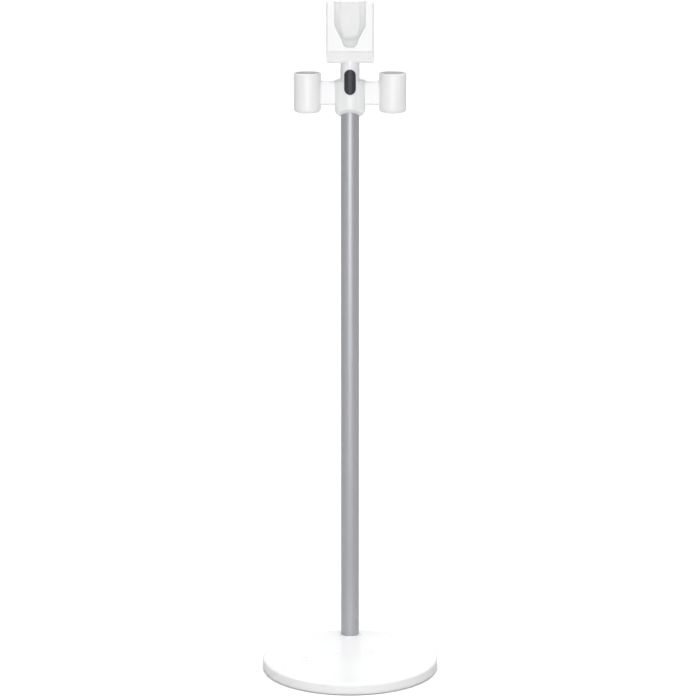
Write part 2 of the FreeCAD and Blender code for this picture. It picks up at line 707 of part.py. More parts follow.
def button_spring():
    """Spring between the button's upper end and the core's spine."""
    start = BUTTON_BACK + BUTTON_FLANGE + SEAT
    length = SPINE_FRONT - SEAT - start
    place = Vector(0, TUBE_Y + start, BUTTON_SPRING_Z)
    return aimed(coil(BUTTON_COIL, length), place, Vector(0, 1, 0))


def release_button():
    """Pill-shaped button: curved face, retaining flange, push boss and spring peg."""
    ahead = COLUMN_FRONT - BUTTON_PROUD - OVER
    body = plate_y(pill(BUTTON_HALF_WIDTH, BUTTON_HALF_HEIGHT), ahead, BUTTON_BACK)
    body = body.common(column(-BUTTON_PROUD, COLLAR_BOTTOM_Z, DOCK_BOTTOM_Z))
    rear = BUTTON_BACK + BUTTON_FLANGE
    behind = TUBE_Y + BUTTON_BACK - SAME
    face_edges = [e for e in body.Edges if e.BoundBox.YMax < behind]
    body = body.makeFillet(BUTTON_EDGE_ROUND, face_edges)
    grow = BUTTON_FLANGE
    flange = plate_y(
        pill(BUTTON_HALF_WIDTH + grow, BUTTON_HALF_HEIGHT + grow), BUTTON_BACK, rear
    )
    boss = rod_y(BUTTON_BOSS_RADIUS, BUTTON_BACK, PLUNGER_NOSE - FIT, 0, PLUNGER_Z)
    peg_end = rear + BUTTON_PEG_LENGTH
    peg = rod_y(BUTTON_PEG_RADIUS, BUTTON_BACK, peg_end, 0, BUTTON_SPRING_Z)
    return fuse(body, flange, boss, peg)


def button_bezel():
    """Raised rim round the button, with the tunnel that the button slides in."""
    outer = pill(BUTTON_HALF_WIDTH + BEZEL_RIM, BUTTON_HALF_HEIGHT + BEZEL_RIM)
    inner = pill(BUTTON_HALF_WIDTH + FIT, BUTTON_HALF_HEIGHT + FIT)
    ahead = COLUMN_FRONT - BEZEL_PROUD - OVER
    ring = plate_y(outer, ahead, BUTTON_BACK - FIT)
    ring = ring.cut(plate_y(inner, ahead, BUTTON_BACK - FIT))
    return ring.common(column(-BEZEL_PROUD, COLLAR_BOTTOM_Z, DOCK_BOTTOM_Z))


# ---------------------------------------------------------------- head


def chin_wedge(lift):
    """Space under the head's slanted front, raised by lift."""
    top = COLLAR_BOTTOM_Z + lift
    reach = 2 * COLLAR_RADIUS
    low = top - reach
    rise = reach * math.tan(math.radians(CHIN_ANGLE))
    corners = [(0, top, 0), (-reach, top + rise, 0), (-reach, low, 0), (0, low, 0)]
    return bar_x(corners, -reach, reach)


def collar_body(shrink):
    """Round collar, made smaller all round by shrink."""
    radius = COLLAR_RADIUS - shrink
    low = COLLAR_BOTTOM_Z + shrink
    high = COLLAR_TOP_Z - shrink
    return turned(
        [
            (0, low, 0),
            (radius, low, COLLAR_BOTTOM_ROUND - shrink),
            (radius, high, max(COLLAR_TOP_ROUND - shrink, LEAST_ROUND)),
            (0, high, 0),
        ],
        0,
        TUBE_Y,
    )


def head_body(shrink):
    """Collar and column as one form with the slanted chin, smaller by shrink."""
    form = fuse(collar_body(shrink), column(shrink, COLLAR_BOTTOM_Z + shrink, COLUMN_TOP_Z))
    lift = shrink / math.cos(math.radians(CHIN_ANGLE))
    return form.cut(chin_wedge(lift))


def head_shell():
    """The head's whole skin, before it is split into front and rear."""
    skin = head_body(0).cut(head_body(HEAD_WALL))
    half_height = BEAM_HEIGHT / 2 + GAP
    window = block(
        -COLLAR_RADIUS,
        COLLAR_RADIUS,
        BEAM_FRONT - GAP,
        BEAM_BACK + GAP,
        ARM_MIDDLE_Z - half_height,
        ARM_MIDDLE_Z + half_height,
    )
    tube_hole = at_tube(TUBE_RADIUS + GAP, COLLAR_BOTTOM_Z - OVER, ARM_BOTTOM_Z)
    return skin.cut([window, tube_hole])


def hub_bosses(y0, y1):
    """Screw bosses beside the sleeve, between two depths, kept inside the collar."""
    bosses = []
    for x in (-HUB_BOSS_X, HUB_BOSS_X):
        for z in HUB_SCREW_HEIGHTS:
            bosses.append(rod_y(HUB_BOSS_RADIUS, y0, y1, x, z))
    room = collar_body(HEAD_WALL / 2).cut(at_tube(SLEEVE_RADIUS + FIT, COLLAR_BOTTOM_Z, COLLAR_TOP_Z))
    return [boss.common(room) for boss in bosses]


def screw_holes(radius, y0, y1):
    """Round cuts on the four hub screws' axes."""
    cuts = []
    for x in (-HUB_BOSS_X, HUB_BOSS_X):
        for z in HUB_SCREW_HEIGHTS:
            cuts.append(rod_y(radius, y0, y1, x, z))
    return cuts


def hub_front_shell():
    """Front half of the head's skin: column, chin, collar front and button opening."""
    reach = 2 * COLLAR_RADIUS
    front = block(-reach, reach, -reach, 0, COLLAR_BOTTOM_Z - OVER, COLUMN_TOP_Z)
    shell = head_shell().common(front)
    shell = fuse(shell, *hub_bosses(-HUB_BOSS_REACH, 0))
    grow = BEZEL_RIM + SEAT
    opening = plate_y(
        pill(BUTTON_HALF_WIDTH + grow, BUTTON_HALF_HEIGHT + grow), COLUMN_FRONT - OVER, -SLEEVE_RADIUS
    )
    shell = shell.cut(opening)
    return shell.cut(screw_holes(HUB_SCREW[0], -HUB_BOSS_REACH + HUB_BOSS_FLOOR, 0))


def hub_rear_shell():
    """Rear half of the head's skin, with four deep screw holes."""
    reach = 2 * COLLAR_RADIUS
    rear = block(-reach, reach, 0, reach, COLLAR_BOTTOM_Z - OVER, DOCK_BOTTOM_Z)
    shell = head_shell().common(rear)
    shell = fuse(shell, *hub_bosses(0, HUB_BOSS_REACH))
    shell = shell.cut(screw_holes(HUB_SCREW[0] + FIT, 0, COLLAR_RADIUS))
    seat = HUB_BOSS_REACH - HUB_BOSS_FLOOR
    return shell.cut(screw_holes(HUB_SCREW[1] + GAP, seat, COLLAR_RADIUS))


def hub_screw(x, z):
    """One screw from the rear through both halves of the head's skin."""
    place = Vector(x, TUBE_Y + HUB_BOSS_REACH - HUB_BOSS_FLOOR, z)
    return aimed(screw(HUB_SCREW), place, Vector(0, -1, 0))


def hub_core():
    """Load-bearing moulding: sleeve over the tube, two side beams, and a spine."""
    cap_top = TUBE_TOP_Z + SLEEVE_TOP_CAP
    sleeve = at_tube(SLEEVE_RADIUS, SLEEVE_BOTTOM_Z, cap_top)
    half_height = BEAM_HEIGHT / 2
    beams = block(
        -BEAM_REACH,
        BEAM_REACH,
        BEAM_FRONT,
        BEAM_BACK,
        ARM_MIDDLE_Z - half_height,
        ARM_MIDDLE_Z + half_height,
    )
    spine_top = DOCK_BOTTOM_Z + SPINE_INTO_DOCK
    spine = block(
        -SPINE_HALF_WIDTH, SPINE_HALF_WIDTH, SPINE_FRONT, SPINE_REAR, TUBE_TOP_Z, spine_top
    )
    core = fuse(sleeve, beams, spine)
    core = core.cut(at_tube(SLEEVE_BORE, SLEEVE_BOTTOM_Z, TUBE_TOP_Z))
    skin_lift = HEAD_WALL / math.cos(math.radians(CHIN_ANGLE))
    core = core.cut(chin_wedge(skin_lift + SLEEVE_BOTTOM_GAP))
    core = core.cut(rod_y(PLUNGER_RADIUS + FIT, -SLEEVE_RADIUS - GAP, 0, 0, PLUNGER_Z))
    screw_end = HOLDER_SCREW_SEAT - HOLDER_SCREW[3] - HOLDER_PILOT_SPARE
    for x in (-HOLDER_SCREW_X, HOLDER_SCREW_X):
        core = core.cut(rod_y(HOLDER_SCREW[0], screw_end, BEAM_BACK, x, ARM_MIDDLE_Z))
    for z in SPINE_SCREW_HEIGHTS:
        core = core.cut(rod_y(SPINE_SCREW[0], SPINE_FRONT, SPINE_REAR, 0, z))
    return core


# ---------------------------------------------------------------- tool holders


def cup_form(radius, low, high, low_round, high_round):
    """Round body on the right-hand cup's axis."""
    corners = [(0, low, 0), (radius, low, low_round), (radius, high, high_round), (0, high, 0)]
    return turned(corners, CUP_SPACING, TUBE_Y)


def right_tool_holder():
    """Hollow arm and open cup moulded as one piece, for the right-hand side."""
    arm_outline = [
        (ARM_FRONT, ARM_BOTTOM_Z, ARM_EDGE_ROUND),
        (ARM_BACK, ARM_BOTTOM_Z, ARM_EDGE_ROUND),
        (ARM_BACK, ARM_TOP_Z, ARM_EDGE_ROUND),
        (ARM_FRONT, ARM_TOP_Z, ARM_EDGE_ROUND),
    ]
    inner_round = max(ARM_EDGE_ROUND - HEAD_WALL, LEAST_ROUND)
    inner_outline = [
        (ARM_ROOM_FRONT, ARM_BOTTOM_Z + HEAD_WALL, inner_round),
        (ARM_ROOM_BACK, ARM_BOTTOM_Z + HEAD_WALL, inner_round),
        (ARM_ROOM_BACK, ARM_TOP_Z - HEAD_WALL, inner_round),
        (ARM_ROOM_FRONT, ARM_TOP_Z - HEAD_WALL, inner_round),
    ]
    cup_side_x = CUP_SPACING - CUP_RADIUS
    arm = bar_x(arm_outline, SLEEVE_RADIUS, CUP_SPACING)
    hollow = bar_x(inner_outline, SLEEVE_RADIUS, cup_side_x)
    rib_outline = [(u, v, 0) for u, v, _ in inner_outline]
    beam_top = ARM_MIDDLE_Z + BEAM_HEIGHT / 2 + FIT
    beam_low = ARM_MIDDLE_Z - BEAM_HEIGHT / 2 - FIT
    beam_back = BEAM_BACK + FIT
    ribs = []
    for x in (COLLAR_RADIUS + ARM_RIB_OFFSET, BEAM_REACH - ARM_RIB_WALL):
        rib = bar_x(rib_outline, x, x + ARM_RIB_WALL)
        window = block(x, x + ARM_RIB_WALL, ARM_ROOM_FRONT, beam_back, beam_low, beam_top)
        ribs.append(rib.cut(window))
    boss = rod_y(HOLDER_BOSS_RADIUS, beam_back, ARM_ROOM_BACK, HOLDER_SCREW_X, ARM_MIDDLE_Z)
    cup = cup_form(CUP_RADIUS, CUP_BOTTOM_Z, CUP_TOP_Z, CUP_BOTTOM_ROUND, CUP_RIM_ROUND)
    arm = arm.cut(hollow)
    holder = fuse(arm, cup, boss, *[r.common(hollow) for r in ribs])
    bore_low = CUP_BOTTOM_Z + CUP_FLOOR
    holder = holder.cut(cup_form(CUP_BORE, bore_low, CUP_TOP_Z + OVER, CUP_BORE_ROUND, 0))
    holder = holder.cut(at_tube(COLLAR_RADIUS + FIT, ARM_BOTTOM_Z - OVER, ARM_TOP_Z + OVER))
    shank = rod_y(HOLDER_SCREW[0] + FIT, 0, ARM_BACK, HOLDER_SCREW_X, ARM_MIDDLE_Z)
    head_radius = HOLDER_SCREW[1] + GAP
    head = rod_y(head_radius, HOLDER_SCREW_SEAT, ARM_BACK, HOLDER_SCREW_X, ARM_MIDDLE_Z)
    return holder.cut([shank, head])


def right_cup_pad():
    """Soft disc on the cup's floor."""
    low = CUP_BOTTOM_Z + CUP_FLOOR
    radius = CUP_BORE - CUP_BORE_ROUND - GAP
    return cup_form(radius, low, low + CUP_PAD_THICKNESS, 0, CUP_PAD_ROUND)


def holder_screw(side):
    """Screw from the rear through an arm into the core's beam."""
    place = Vector(side * HOLDER_SCREW_X, TUBE_Y + HOLDER_SCREW_SEAT, ARM_MIDDLE_Z)
    return aimed(screw(HOLDER_SCREW), place, Vector(0, -1, 0))


def holder_screw_cap(side):
    """Round cap that hides a holder screw."""
    radius = HOLDER_SCREW[1] + GAP - SEAT
    y0 = ARM_BACK - CAP_THICKNESS
    return rod_y(radius, y0, ARM_BACK, side * HOLDER_SCREW_X, ARM_MIDDLE_Z)


# ---------------------------------------------------------------- dock


def slot_outline(grow, top):
    """Corners of the funnel slot, larger by grow, running up to top."""
    wide = SLOT_HALF_WIDTH + grow
    narrow = SLOT_NECK_HALF_WIDTH + grow
    low = SLOT_BOTTOM_Z - grow
    slant = grow * SLOT_SLANT_SHARE
    seat = SLOT_SEAT_HALF_WIDTH + grow
    seat_round = seat * SLOT_SEAT_ROUNDNESS
    return [
        (-wide, top, 0),
        (-wide, SLOT_TAPER_TOP_Z - slant, SLOT_SHOULDER_ROUND),
        (-narrow, SLOT_TAPER_BOTTOM_Z - slant, SLOT_WAIST_ROUND),
        (-seat, low, seat_round),
        (seat, low, seat_round),
        (narrow, SLOT_TAPER_BOTTOM_Z - slant, SLOT_WAIST_ROUND),
        (wide, SLOT_TAPER_TOP_Z - slant, SLOT_SHOULDER_ROUND),
        (wide, top, 0),
    ]


def dock_block(inset, y0, y1, z0, z1):
    """Rounded upright block of the dock's section, smaller by inset, between two depths."""
    half = DOCK_HALF_WIDTH - inset
    round_side = max(DOCK_SIDE_ROUND - inset, LEAST_ROUND)
    corners = [
        (-half, TUBE_Y + DOCK_FRONT + inset, round_side),
        (half, TUBE_Y + DOCK_FRONT + inset, round_side),
        (half, TUBE_Y + DOCK_REAR - inset, round_side),
        (-half, TUBE_Y + DOCK_REAR - inset, round_side),
    ]
    return slab(corners, z0, z1).common(block(-half, half, y0, y1, z0, z1))


def dock_front_outline(y0, y1):
    """Upright slab of the dock's front outline, its lower corners rounded, between two depths."""
    corners = [
        (-DOCK_HALF_WIDTH, DOCK_BOTTOM_Z, DOCK_CORNER_ROUND),
        (DOCK_HALF_WIDTH, DOCK_BOTTOM_Z, DOCK_CORNER_ROUND),
        (DOCK_HALF_WIDTH, DOCK_TOP_Z, 0),
        (-DOCK_HALF_WIDTH, DOCK_TOP_Z, 0),
    ]
    return plate_y(corners, y0, y1)


def rounded_top(shape):
    """Rounds a dock piece's outer top edges."""
    top = DOCK_TOP_Z
    edges = []
    for edge in shape.Edges:
        box = edge.BoundBox
        level = abs(box.ZMin - top) < SAME and abs(box.ZMax - top) < SAME
        band = DOCK_SIDE_ROUND + SAME
        outer = (
            box.YMax < TUBE_Y + DOCK_FRONT + band
            or box.YMin > TUBE_Y + DOCK_REAR - band
            or min(abs(box.XMin), abs(box.XMax)) > DOCK_HALF_WIDTH - band
        )
        if level and outer:
            edges.append(edge)
    return shape.makeFillet(DOCK_TOP_ROUND, edges)


def corner_places():
    """X and Z places of the dock's four corner screws."""
    x = DOCK_HALF_WIDTH - DOCK_SCREW_INSET_X
    low = DOCK_BOTTOM_Z + DOCK_SCREW_INSET_Z
    high = DOCK_TOP_Z - DOCK_SCREW_INSET_Z
    return [(-x, low), (x, low), (-x, high), (x, high)]


def dock_front_cover():
    """Front plate with the funnel slot, its undercut walls, side walls and bosses."""
    outer = dock_block(0, DOCK_FRONT, DOCK_SPLIT, LOWER_TRIM_TOP_Z, DOCK_TOP_Z)
    outer = rounded_top(outer)
    room_front = DOCK_FRONT + FACE_THICKNESS
    room = dock_block(
        DOCK_WALL, room_front, DOCK_SPLIT, LOWER_TRIM_TOP_Z + DOCK_WALL, DOCK_TOP_Z - DOCK_WALL
    )
    cover = outer.cut(room)
    wall_grow = SLOT_UNDERCUT + SLOT_RIB_WALL
    rib_outline = slot_outline(wall_grow, DOCK_TOP_Z - DOCK_TOP_ROUND)
    rib = plate_y(rib_outline, room_front, RAIL_PLATE_FRONT)
    bosses = [
        rod_y(DOCK_BOSS_RADIUS, room_front, RAIL_PLATE_FRONT, x, z)
        for x, z in corner_places()
        if z > LOWER_TRIM_TOP_Z
    ]
    cover = fuse(cover, rib, *bosses)
    above = DOCK_TOP_Z + OVER
    slot = plate_y(slot_outline(0, above), DOCK_FRONT - OVER, RAIL_PLATE_FRONT)
    pocket = plate_y(slot_outline(SLOT_UNDERCUT, above), room_front, RAIL_PLATE_FRONT)
    rail_seat = block(
        -DOCK_HALF_WIDTH + DOCK_WALL,
        DOCK_HALF_WIDTH - DOCK_WALL,
        RAIL_PLATE_FRONT,
        DOCK_SPLIT,
        LOWER_TRIM_TOP_Z,
        above,
    )
    cover = cover.cut([slot, pocket, rail_seat])
    pilot_front = room_front + DOCK_PILOT_CLOSED
    for x, z in corner_places():
        if z > LOWER_TRIM_TOP_Z:
            cover = cover.cut(rod_y(DOCK_SCREW[0], pilot_front, DOCK_SPLIT, x, z))
    return cover


def dock_lower_trim():
    """Cap under the front plate, its face set back towards the bottom."""
    top = LOWER_TRIM_TOP_Z - LOWER_TRIM_GAP
    form = dock_block(0, DOCK_FRONT, DOCK_SPLIT, DOCK_BOTTOM_Z, top)
    section = [
        (DOCK_FRONT, top, 0),
        (DOCK_FRONT + LOWER_TRIM_SETBACK, DOCK_BOTTOM_Z, DOCK_BOTTOM_ROUND),
        (DOCK_SPLIT, DOCK_BOTTOM_Z, 0),
        (DOCK_SPLIT, top, 0),
    ]
    form = form.common(bar_x(section, -DOCK_HALF_WIDTH, DOCK_HALF_WIDTH))
    form = form.common(dock_front_outline(DOCK_FRONT, DOCK_SPLIT))
    front = DOCK_FRONT + LOWER_TRIM_SETBACK + FACE_THICKNESS
    room = dock_block(DOCK_WALL, front, DOCK_SPLIT, DOCK_BOTTOM_Z + DOCK_WALL, top)
    bosses = [
        rod_y(DOCK_BOSS_RADIUS, front - OVER, RAIL_PLATE_FRONT, x, z)
        for x, z in corner_places()
        if z < LOWER_TRIM_TOP_Z
    ]
    trim = fuse(form.cut(room), *bosses)
    for x, z in corner_places():
        if z < LOWER_TRIM_TOP_Z:
            trim = trim.cut(rod_y(DOCK_SCREW[0], front, DOCK_SPLIT, x, z))
    neck = column(-FIT, DOCK_BOTTOM_Z - OVER, COLUMN_TOP_Z + FIT)
    return trim.cut(neck)


def dock_rail():
    """Plate behind the slot with the tapered tongue that a hook slides over."""
    half = DOCK_HALF_WIDTH - DOCK_WALL - FIT
    low = DOCK_BOTTOM_Z + DOCK_WALL + FIT
    plate_outline = rectangle(half, low, DOCK_TOP_Z, 0)
    plate = plate_y(plate_outline, RAIL_PLATE_FRONT, DOCK_SPLIT)
    plate = plate.cut(column(-FIT, DOCK_BOTTOM_Z, COLUMN_TOP_Z + FIT))
    ramp_end = TONGUE_END_Z - TONGUE_RAMP_DROP
    tongue = plate_y(
        [
            (-TONGUE_HALF_WIDTH, DOCK_TOP_Z, 0),
            (-TONGUE_HALF_WIDTH, SLOT_TAPER_TOP_Z, TONGUE_SHOULDER_ROUND),
            (-TONGUE_END_HALF_WIDTH, ramp_end, TONGUE_END_ROUND),
            (TONGUE_END_HALF_WIDTH, ramp_end, TONGUE_END_ROUND),
            (TONGUE_HALF_WIDTH, SLOT_TAPER_TOP_Z, TONGUE_SHOULDER_ROUND),
            (TONGUE_HALF_WIDTH, DOCK_TOP_Z, 0),
        ],
        TONGUE_FRONT,
        RAIL_PLATE_FRONT,
    )
    ramp = bar_x(
        [
            (TONGUE_FRONT - OVER, TONGUE_END_Z, 0),
            (TONGUE_FRONT, TONGUE_END_Z, 0),
            (RAIL_PLATE_FRONT, ramp_end, 0),
            (TONGUE_FRONT - OVER, ramp_end, 0),
        ],
        -TONGUE_HALF_WIDTH,
        TONGUE_HALF_WIDTH,
    )
    rail = fuse(plate, tongue.cut(ramp))
    hole = DOCK_SCREW[0] + FIT
    cuts = [rod_y(hole, RAIL_PLATE_FRONT, DOCK_SPLIT, x, z) for x, z in corner_places()]
    return rail.cut(cuts)


def dock_rear_housing():
    """Box behind the rail plate, with screw bosses and ribs beside the spine."""
    outer = rounded_top(dock_block(0, DOCK_SPLIT, DOCK_REAR, DOCK_BOTTOM_Z, DOCK_TOP_Z))
    outer = outer.common(dock_front_outline(DOCK_SPLIT, DOCK_REAR))
    floor = DOCK_BOTTOM_Z + DOCK_WALL
    rib_top = DOCK_TOP_Z - DOCK_WALL
    room = dock_block(DOCK_WALL, DOCK_SPLIT, DOCK_REAR - DOCK_WALL, floor, rib_top)
    housing = outer.cut(room)
    root = DOCK_REAR - OVER
    bosses = [rod_y(DOCK_BOSS_RADIUS, DOCK_SPLIT, root, x, z) for x, z in corner_places()]
    rib_x = SPINE_HALF_WIDTH + FIT
    for side in (-1, 1):
        x0, x1 = sorted((side * rib_x, side * (rib_x + SLOT_RIB_WALL)))
        bosses.append(block(x0, x1, DOCK_SPLIT, root, DOCK_BOTTOM_Z + OVER, rib_top))
    for z in SPINE_SCREW_HEIGHTS:
        bosses.append(rod_y(SPINE_BOSS_RADIUS, SPINE_REAR + FIT, root, 0, z))
    housing = fuse(housing, *bosses)
    low = DOCK_BOTTOM_Z - OVER
    cuts = [block(-rib_x, rib_x, SPINE_FRONT - FIT, SPINE_REAR + FIT, low, floor + OVER)]
    cuts.append(column(HEAD_WALL, low, floor))
    neck_front = column(-FIT, low, COLUMN_TOP_Z + FIT)
    reach = 2 * COLLAR_RADIUS
    cuts.append(neck_front.common(block(-reach, reach, -reach, FIT, low, DOCK_TOP_Z)))
    for x, z in corner_places():
        cuts.append(rod_y(DOCK_SCREW[0] + FIT, DOCK_SPLIT, DOCK_REAR, x, z))
        cuts.append(rod_y(DOCK_SCREW[1] + GAP, DOCK_SCREW_SEAT, DOCK_REAR, x, z))
    for z in SPINE_SCREW_HEIGHTS:
        cuts.append(rod_y(SPINE_SCREW[0] + FIT, SPINE_REAR, DOCK_REAR, 0, z))
    return housing.cut(cuts)


def dock_screw(x, z):
    """Corner screw from the rear into a boss of the front plate."""
    place = Vector(x, TUBE_Y + DOCK_SCREW_SEAT, z)
    return aimed(screw(DOCK_SCREW), place, Vector(0, -1, 0))


def spine_screw(z):
    """Screw from the rear into the core's spine."""
    place = Vector(0, TUBE_Y + DOCK_REAR, z)
    return aimed(screw(SPINE_SCREW), place, Vector(0, -1, 0))


# ---------------------------------------------------------------- all nodes

right_holder = right_tool_holder()
right_pad = right_cup_pad()

nodes = {
    "base_cover": base_cover(),
    "base_pan": base_pan(),
    "base_weight": base_weight(),
    "rubber_feet": group([rubber_foot(x, y) for x, y in foot_places]),
    "pan_screws": group([pan_screw(x, y) for x, y in boss_places]),
    "tube_socket": tube_socket(),
    "socket_screws": group([socket_screw(x, y) for x, y in SOCKET_SCREW_PLACES]),
    "tube_bolt": tube_bolt(),
    "bolt_washer": bolt_washer(),
    "tube_foot_insert": tube_foot_insert(),
    "tube": tube(),
    "tube_trim_ring": tube_trim_ring(),
    "tube_top_insert": tube_top_insert(),
    "lock_plunger": lock_plunger(),
    "plunger_spring": plunger_spring(),
    "release_button": release_button(),
    "button_spring": button_spring(),
    "button_bezel": button_bezel(),
    "hub_core": hub_core(),
    "hub_front_shell": hub_front_shell(),
    "hub_rear_shell": hub_rear_shell(),
    "hub_screws": group(
        [hub_screw(x, z) for x in (-HUB_BOSS_X, HUB_BOSS_X) for z in HUB_SCREW_HEIGHTS]
    ),
    "right_tool_holder": right_holder,
    "left_tool_holder": mirrored(right_holder),
    "right_cup_pad": right_pad,
    "left_cup_pad": mirrored(right_pad),
    "holder_screws": group([holder_screw(side) for side in (-1, 1)]),
    "holder_screw_caps": group([holder_screw_cap(side) for side in (-1, 1)]),
    "dock_front_cover": dock_front_cover(),
    "dock_lower_trim": dock_lower_trim(),
    "dock_rail": dock_rail(),
    "dock_rear_housing": dock_rear_housing(),
    "dock_screws": group([dock_screw(x, z) for x, z in corner_places()]),
    "spine_screws": group([spine_screw(z) for z in SPINE_SCREW_HEIGHTS]),
}

os.makedirs("parts", exist_ok=True)
for name, shape in nodes.items():
    if not shape.isValid():
        raise ValueError(name + " is not a valid shape")
    shape.exportStep("parts/" + name + ".step")
    print(name, len(shape.Solids), round(shape.Volume, 1))
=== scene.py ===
import json
import logging
import math
from dataclasses import dataclass
from enum import Enum
from typing import Sequence

import bmesh
import bpy
import numpy as np
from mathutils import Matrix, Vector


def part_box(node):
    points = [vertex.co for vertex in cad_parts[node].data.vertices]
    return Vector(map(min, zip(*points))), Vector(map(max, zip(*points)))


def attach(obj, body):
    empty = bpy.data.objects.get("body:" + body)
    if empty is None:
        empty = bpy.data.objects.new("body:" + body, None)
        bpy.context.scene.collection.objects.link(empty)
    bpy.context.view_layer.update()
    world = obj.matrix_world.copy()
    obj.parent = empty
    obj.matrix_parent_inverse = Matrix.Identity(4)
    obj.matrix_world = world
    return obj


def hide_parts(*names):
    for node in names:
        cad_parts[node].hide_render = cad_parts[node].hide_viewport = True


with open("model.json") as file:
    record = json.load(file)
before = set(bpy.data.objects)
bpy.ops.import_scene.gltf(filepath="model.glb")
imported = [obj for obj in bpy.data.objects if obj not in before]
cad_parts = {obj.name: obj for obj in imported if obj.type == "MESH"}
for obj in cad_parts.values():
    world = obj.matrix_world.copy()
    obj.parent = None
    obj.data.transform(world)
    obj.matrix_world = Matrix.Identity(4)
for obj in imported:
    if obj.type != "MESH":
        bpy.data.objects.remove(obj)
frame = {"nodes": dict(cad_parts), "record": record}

Array = np.ndarray
Colour = tuple[float, float, float]
Socket = bpy.types.NodeSocket
log = logging.getLogger("floor_stand")
MM = 0.001
FULL_TURN = 2 * math.pi

# Bodies that the new pieces ride on.
STAND = "stand"
BUTTON = "button"

# Angles between neighbouring faces, in radians: where rubbed wear starts and where it is full,
# where the shading breaks, which edges are rounded, and below which faces count as flat.
BEND_START = 0.12
BEND_FULL = 0.5
SHARP_ANGLE = math.radians(38)
BEVEL_ANGLE = math.radians(40)
FLAT_ANGLE = math.radians(0.6)

# Points nearer than this are merged and edges shorter than this are dropped, in metres.
MERGE_DISTANCE = 1e-6
LOST_EDGE = 1e-7

# Distance of the extra point beside a rounded corner, in millimetres.
FLAT_LEAD = 0.3

# Colours whose largest channel is below this are rubbed lighter, the others darker.
PALE = 0.6
DUST: Colour = (0.62, 0.6, 0.57)
BARE_METAL: Colour = (0.86, 0.86, 0.87)


class Axis(Enum):
    """Which way a turned shape's own axis points."""

    UP = "up"
    BACK = "back"
    FRONT = "front"


class Slot(Enum):
    """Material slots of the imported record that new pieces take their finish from."""

    GLOSS = "white_gloss"
    SATIN = "white_satin"
    TUBE = "tube_aluminium"
    BUTTON = "button_grey"
    NYLON = "structural_nylon"
    RUBBER = "foot_rubber"
    IRON = "ballast_iron"
    CAST = "cast_socket"
    STEEL = "fixing_steel"
    PAD = "cup_pad"


# ------------------------------------------------------------------ surfaces


def box(node: str, unit: float = 1.0) -> tuple[Array, Array]:
    """Least and greatest corner of a CAD node's box, in units of so many metres."""
    low, high = (np.array(corner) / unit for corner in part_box(node))
    return low, high


@dataclass
class Patch:
    """One closed surface: its points in metres and its four-sided faces."""

    points: Array
    faces: Array


def closed_grid(points: Array, wrap_rows: bool) -> Patch:
    """Joins a grid of points round its columns, and round its rows if asked.

    The face at row i and column j joins the points (i, j), (i, j+1), (i+1, j+1) and (i+1, j).

    Args:
        points: Grid of shape rows x columns x 3.
        wrap_rows: Whether the last row joins the first.

    Returns:
        The grid as a patch.
    """
    rows, columns = points.shape[:2]
    here = np.arange(rows if wrap_rows else rows - 1)[:, None] * columns
    below = (here + columns) % (rows * columns)
    left = np.arange(columns)[None, :]
    right = (left + 1) % columns
    faces = np.stack([here + left, here + right, below + right, below + left], axis=-1)
    return Patch(points.reshape(-1, 3), faces.reshape(-1, 4))


def rounded_path(corners: Sequence[tuple[float, float, float]], closed: bool, steps: int = 6) -> Array:
    """Line through corners (u, v, radius), with each corner replaced by a circular arc.

    A corner's arc touches both of its sides at radius / tan(half its angle) from the corner, and
    turns about the point at radius / sin(half the angle) along the corner's bisector. One more
    point stands just outside each end of an arc, so that the flats beside it shade flat.

    Args:
        corners: The corners in order, in millimetres.
        closed: Whether the last corner joins the first.
        steps: Spans of each arc.

    Returns:
        Points of shape n x 2, in metres.
    """
    table = np.array(corners, float)
    parts = []
    for index, (u, v, radius) in enumerate(table):
        end = not closed and index in (0, len(table) - 1)
        if radius <= 0 or end:
            parts.append(np.array([[u, v]]))
            continue
        corner = np.array([u, v])
        before = table[index - 1, :2] - corner
        after = table[(index + 1) % len(table), :2] - corner
        spans = np.linalg.norm(before), np.linalg.norm(after)
        before, after = before / spans[0], after / spans[1]
        half = math.acos(np.clip(before @ after, -1, 1)) / 2
        reach = radius / math.tan(half)
        bisector = (before + after) / np.linalg.norm(before + after)
        centre = corner + bisector * radius / math.sin(half)
        start, stop = corner + before * reach, corner + after * reach
        share = np.linspace(0, 1, steps + 1)[:, None]
        turn = math.pi - 2 * half
        arc = (
            np.sin((1 - share) * turn) * (start - centre) + np.sin(share * turn) * (stop - centre)
        ) / math.sin(turn) + centre
        lead = min(FLAT_LEAD, radius)
        outside = [start + before * lead] if spans[0] > reach + 2 * lead else []
        beyond = [stop + after * lead] if spans[1] > reach + 2 * lead else []
        parts.append(np.vstack([*outside, arc, *beyond]))
    return np.vstack(parts) * MM


def aim(points: Array, axis: Axis, place: Array) -> Array:
    """Turns points made about +Z so that +Z becomes the axis, then moves them to the place."""
    x, y, z = points[..., 0], points[..., 1], points[..., 2]
    turned = {
        Axis.UP: (x, y, z),
        Axis.BACK: (x, z, -y),
        Axis.FRONT: (x, -z, y),
    }[axis]
    return np.stack(turned, axis=-1) + np.asarray(place, float)


def turned_surface(
    profile: Array, place: Array, axis: Axis = Axis.UP, segments: int = 96, loop: bool = False
) -> Patch:
    """Surface of revolution: point = (r cos a, r sin a, h) for each profile point (r, h).

    Args:
        profile: Points (radius, height) in metres, from pole to pole or as a loop.
        place: Where the profile's origin goes, in metres.
        axis: Which way the profile's height points.
        segments: Steps of the angle a round the axis.
        loop: Whether the profile closes on itself, as for a ring.

    Returns:
        The closed surface.
    """
    angle = np.arange(segments) * FULL_TURN / segments
    radius, height = profile[:, :1], profile[:, 1:]
    points = np.stack(
        np.broadcast_arrays(radius * np.cos(angle), radius * np.sin(angle), height), axis=-1
    )
    return closed_grid(aim(points, axis, place), loop)


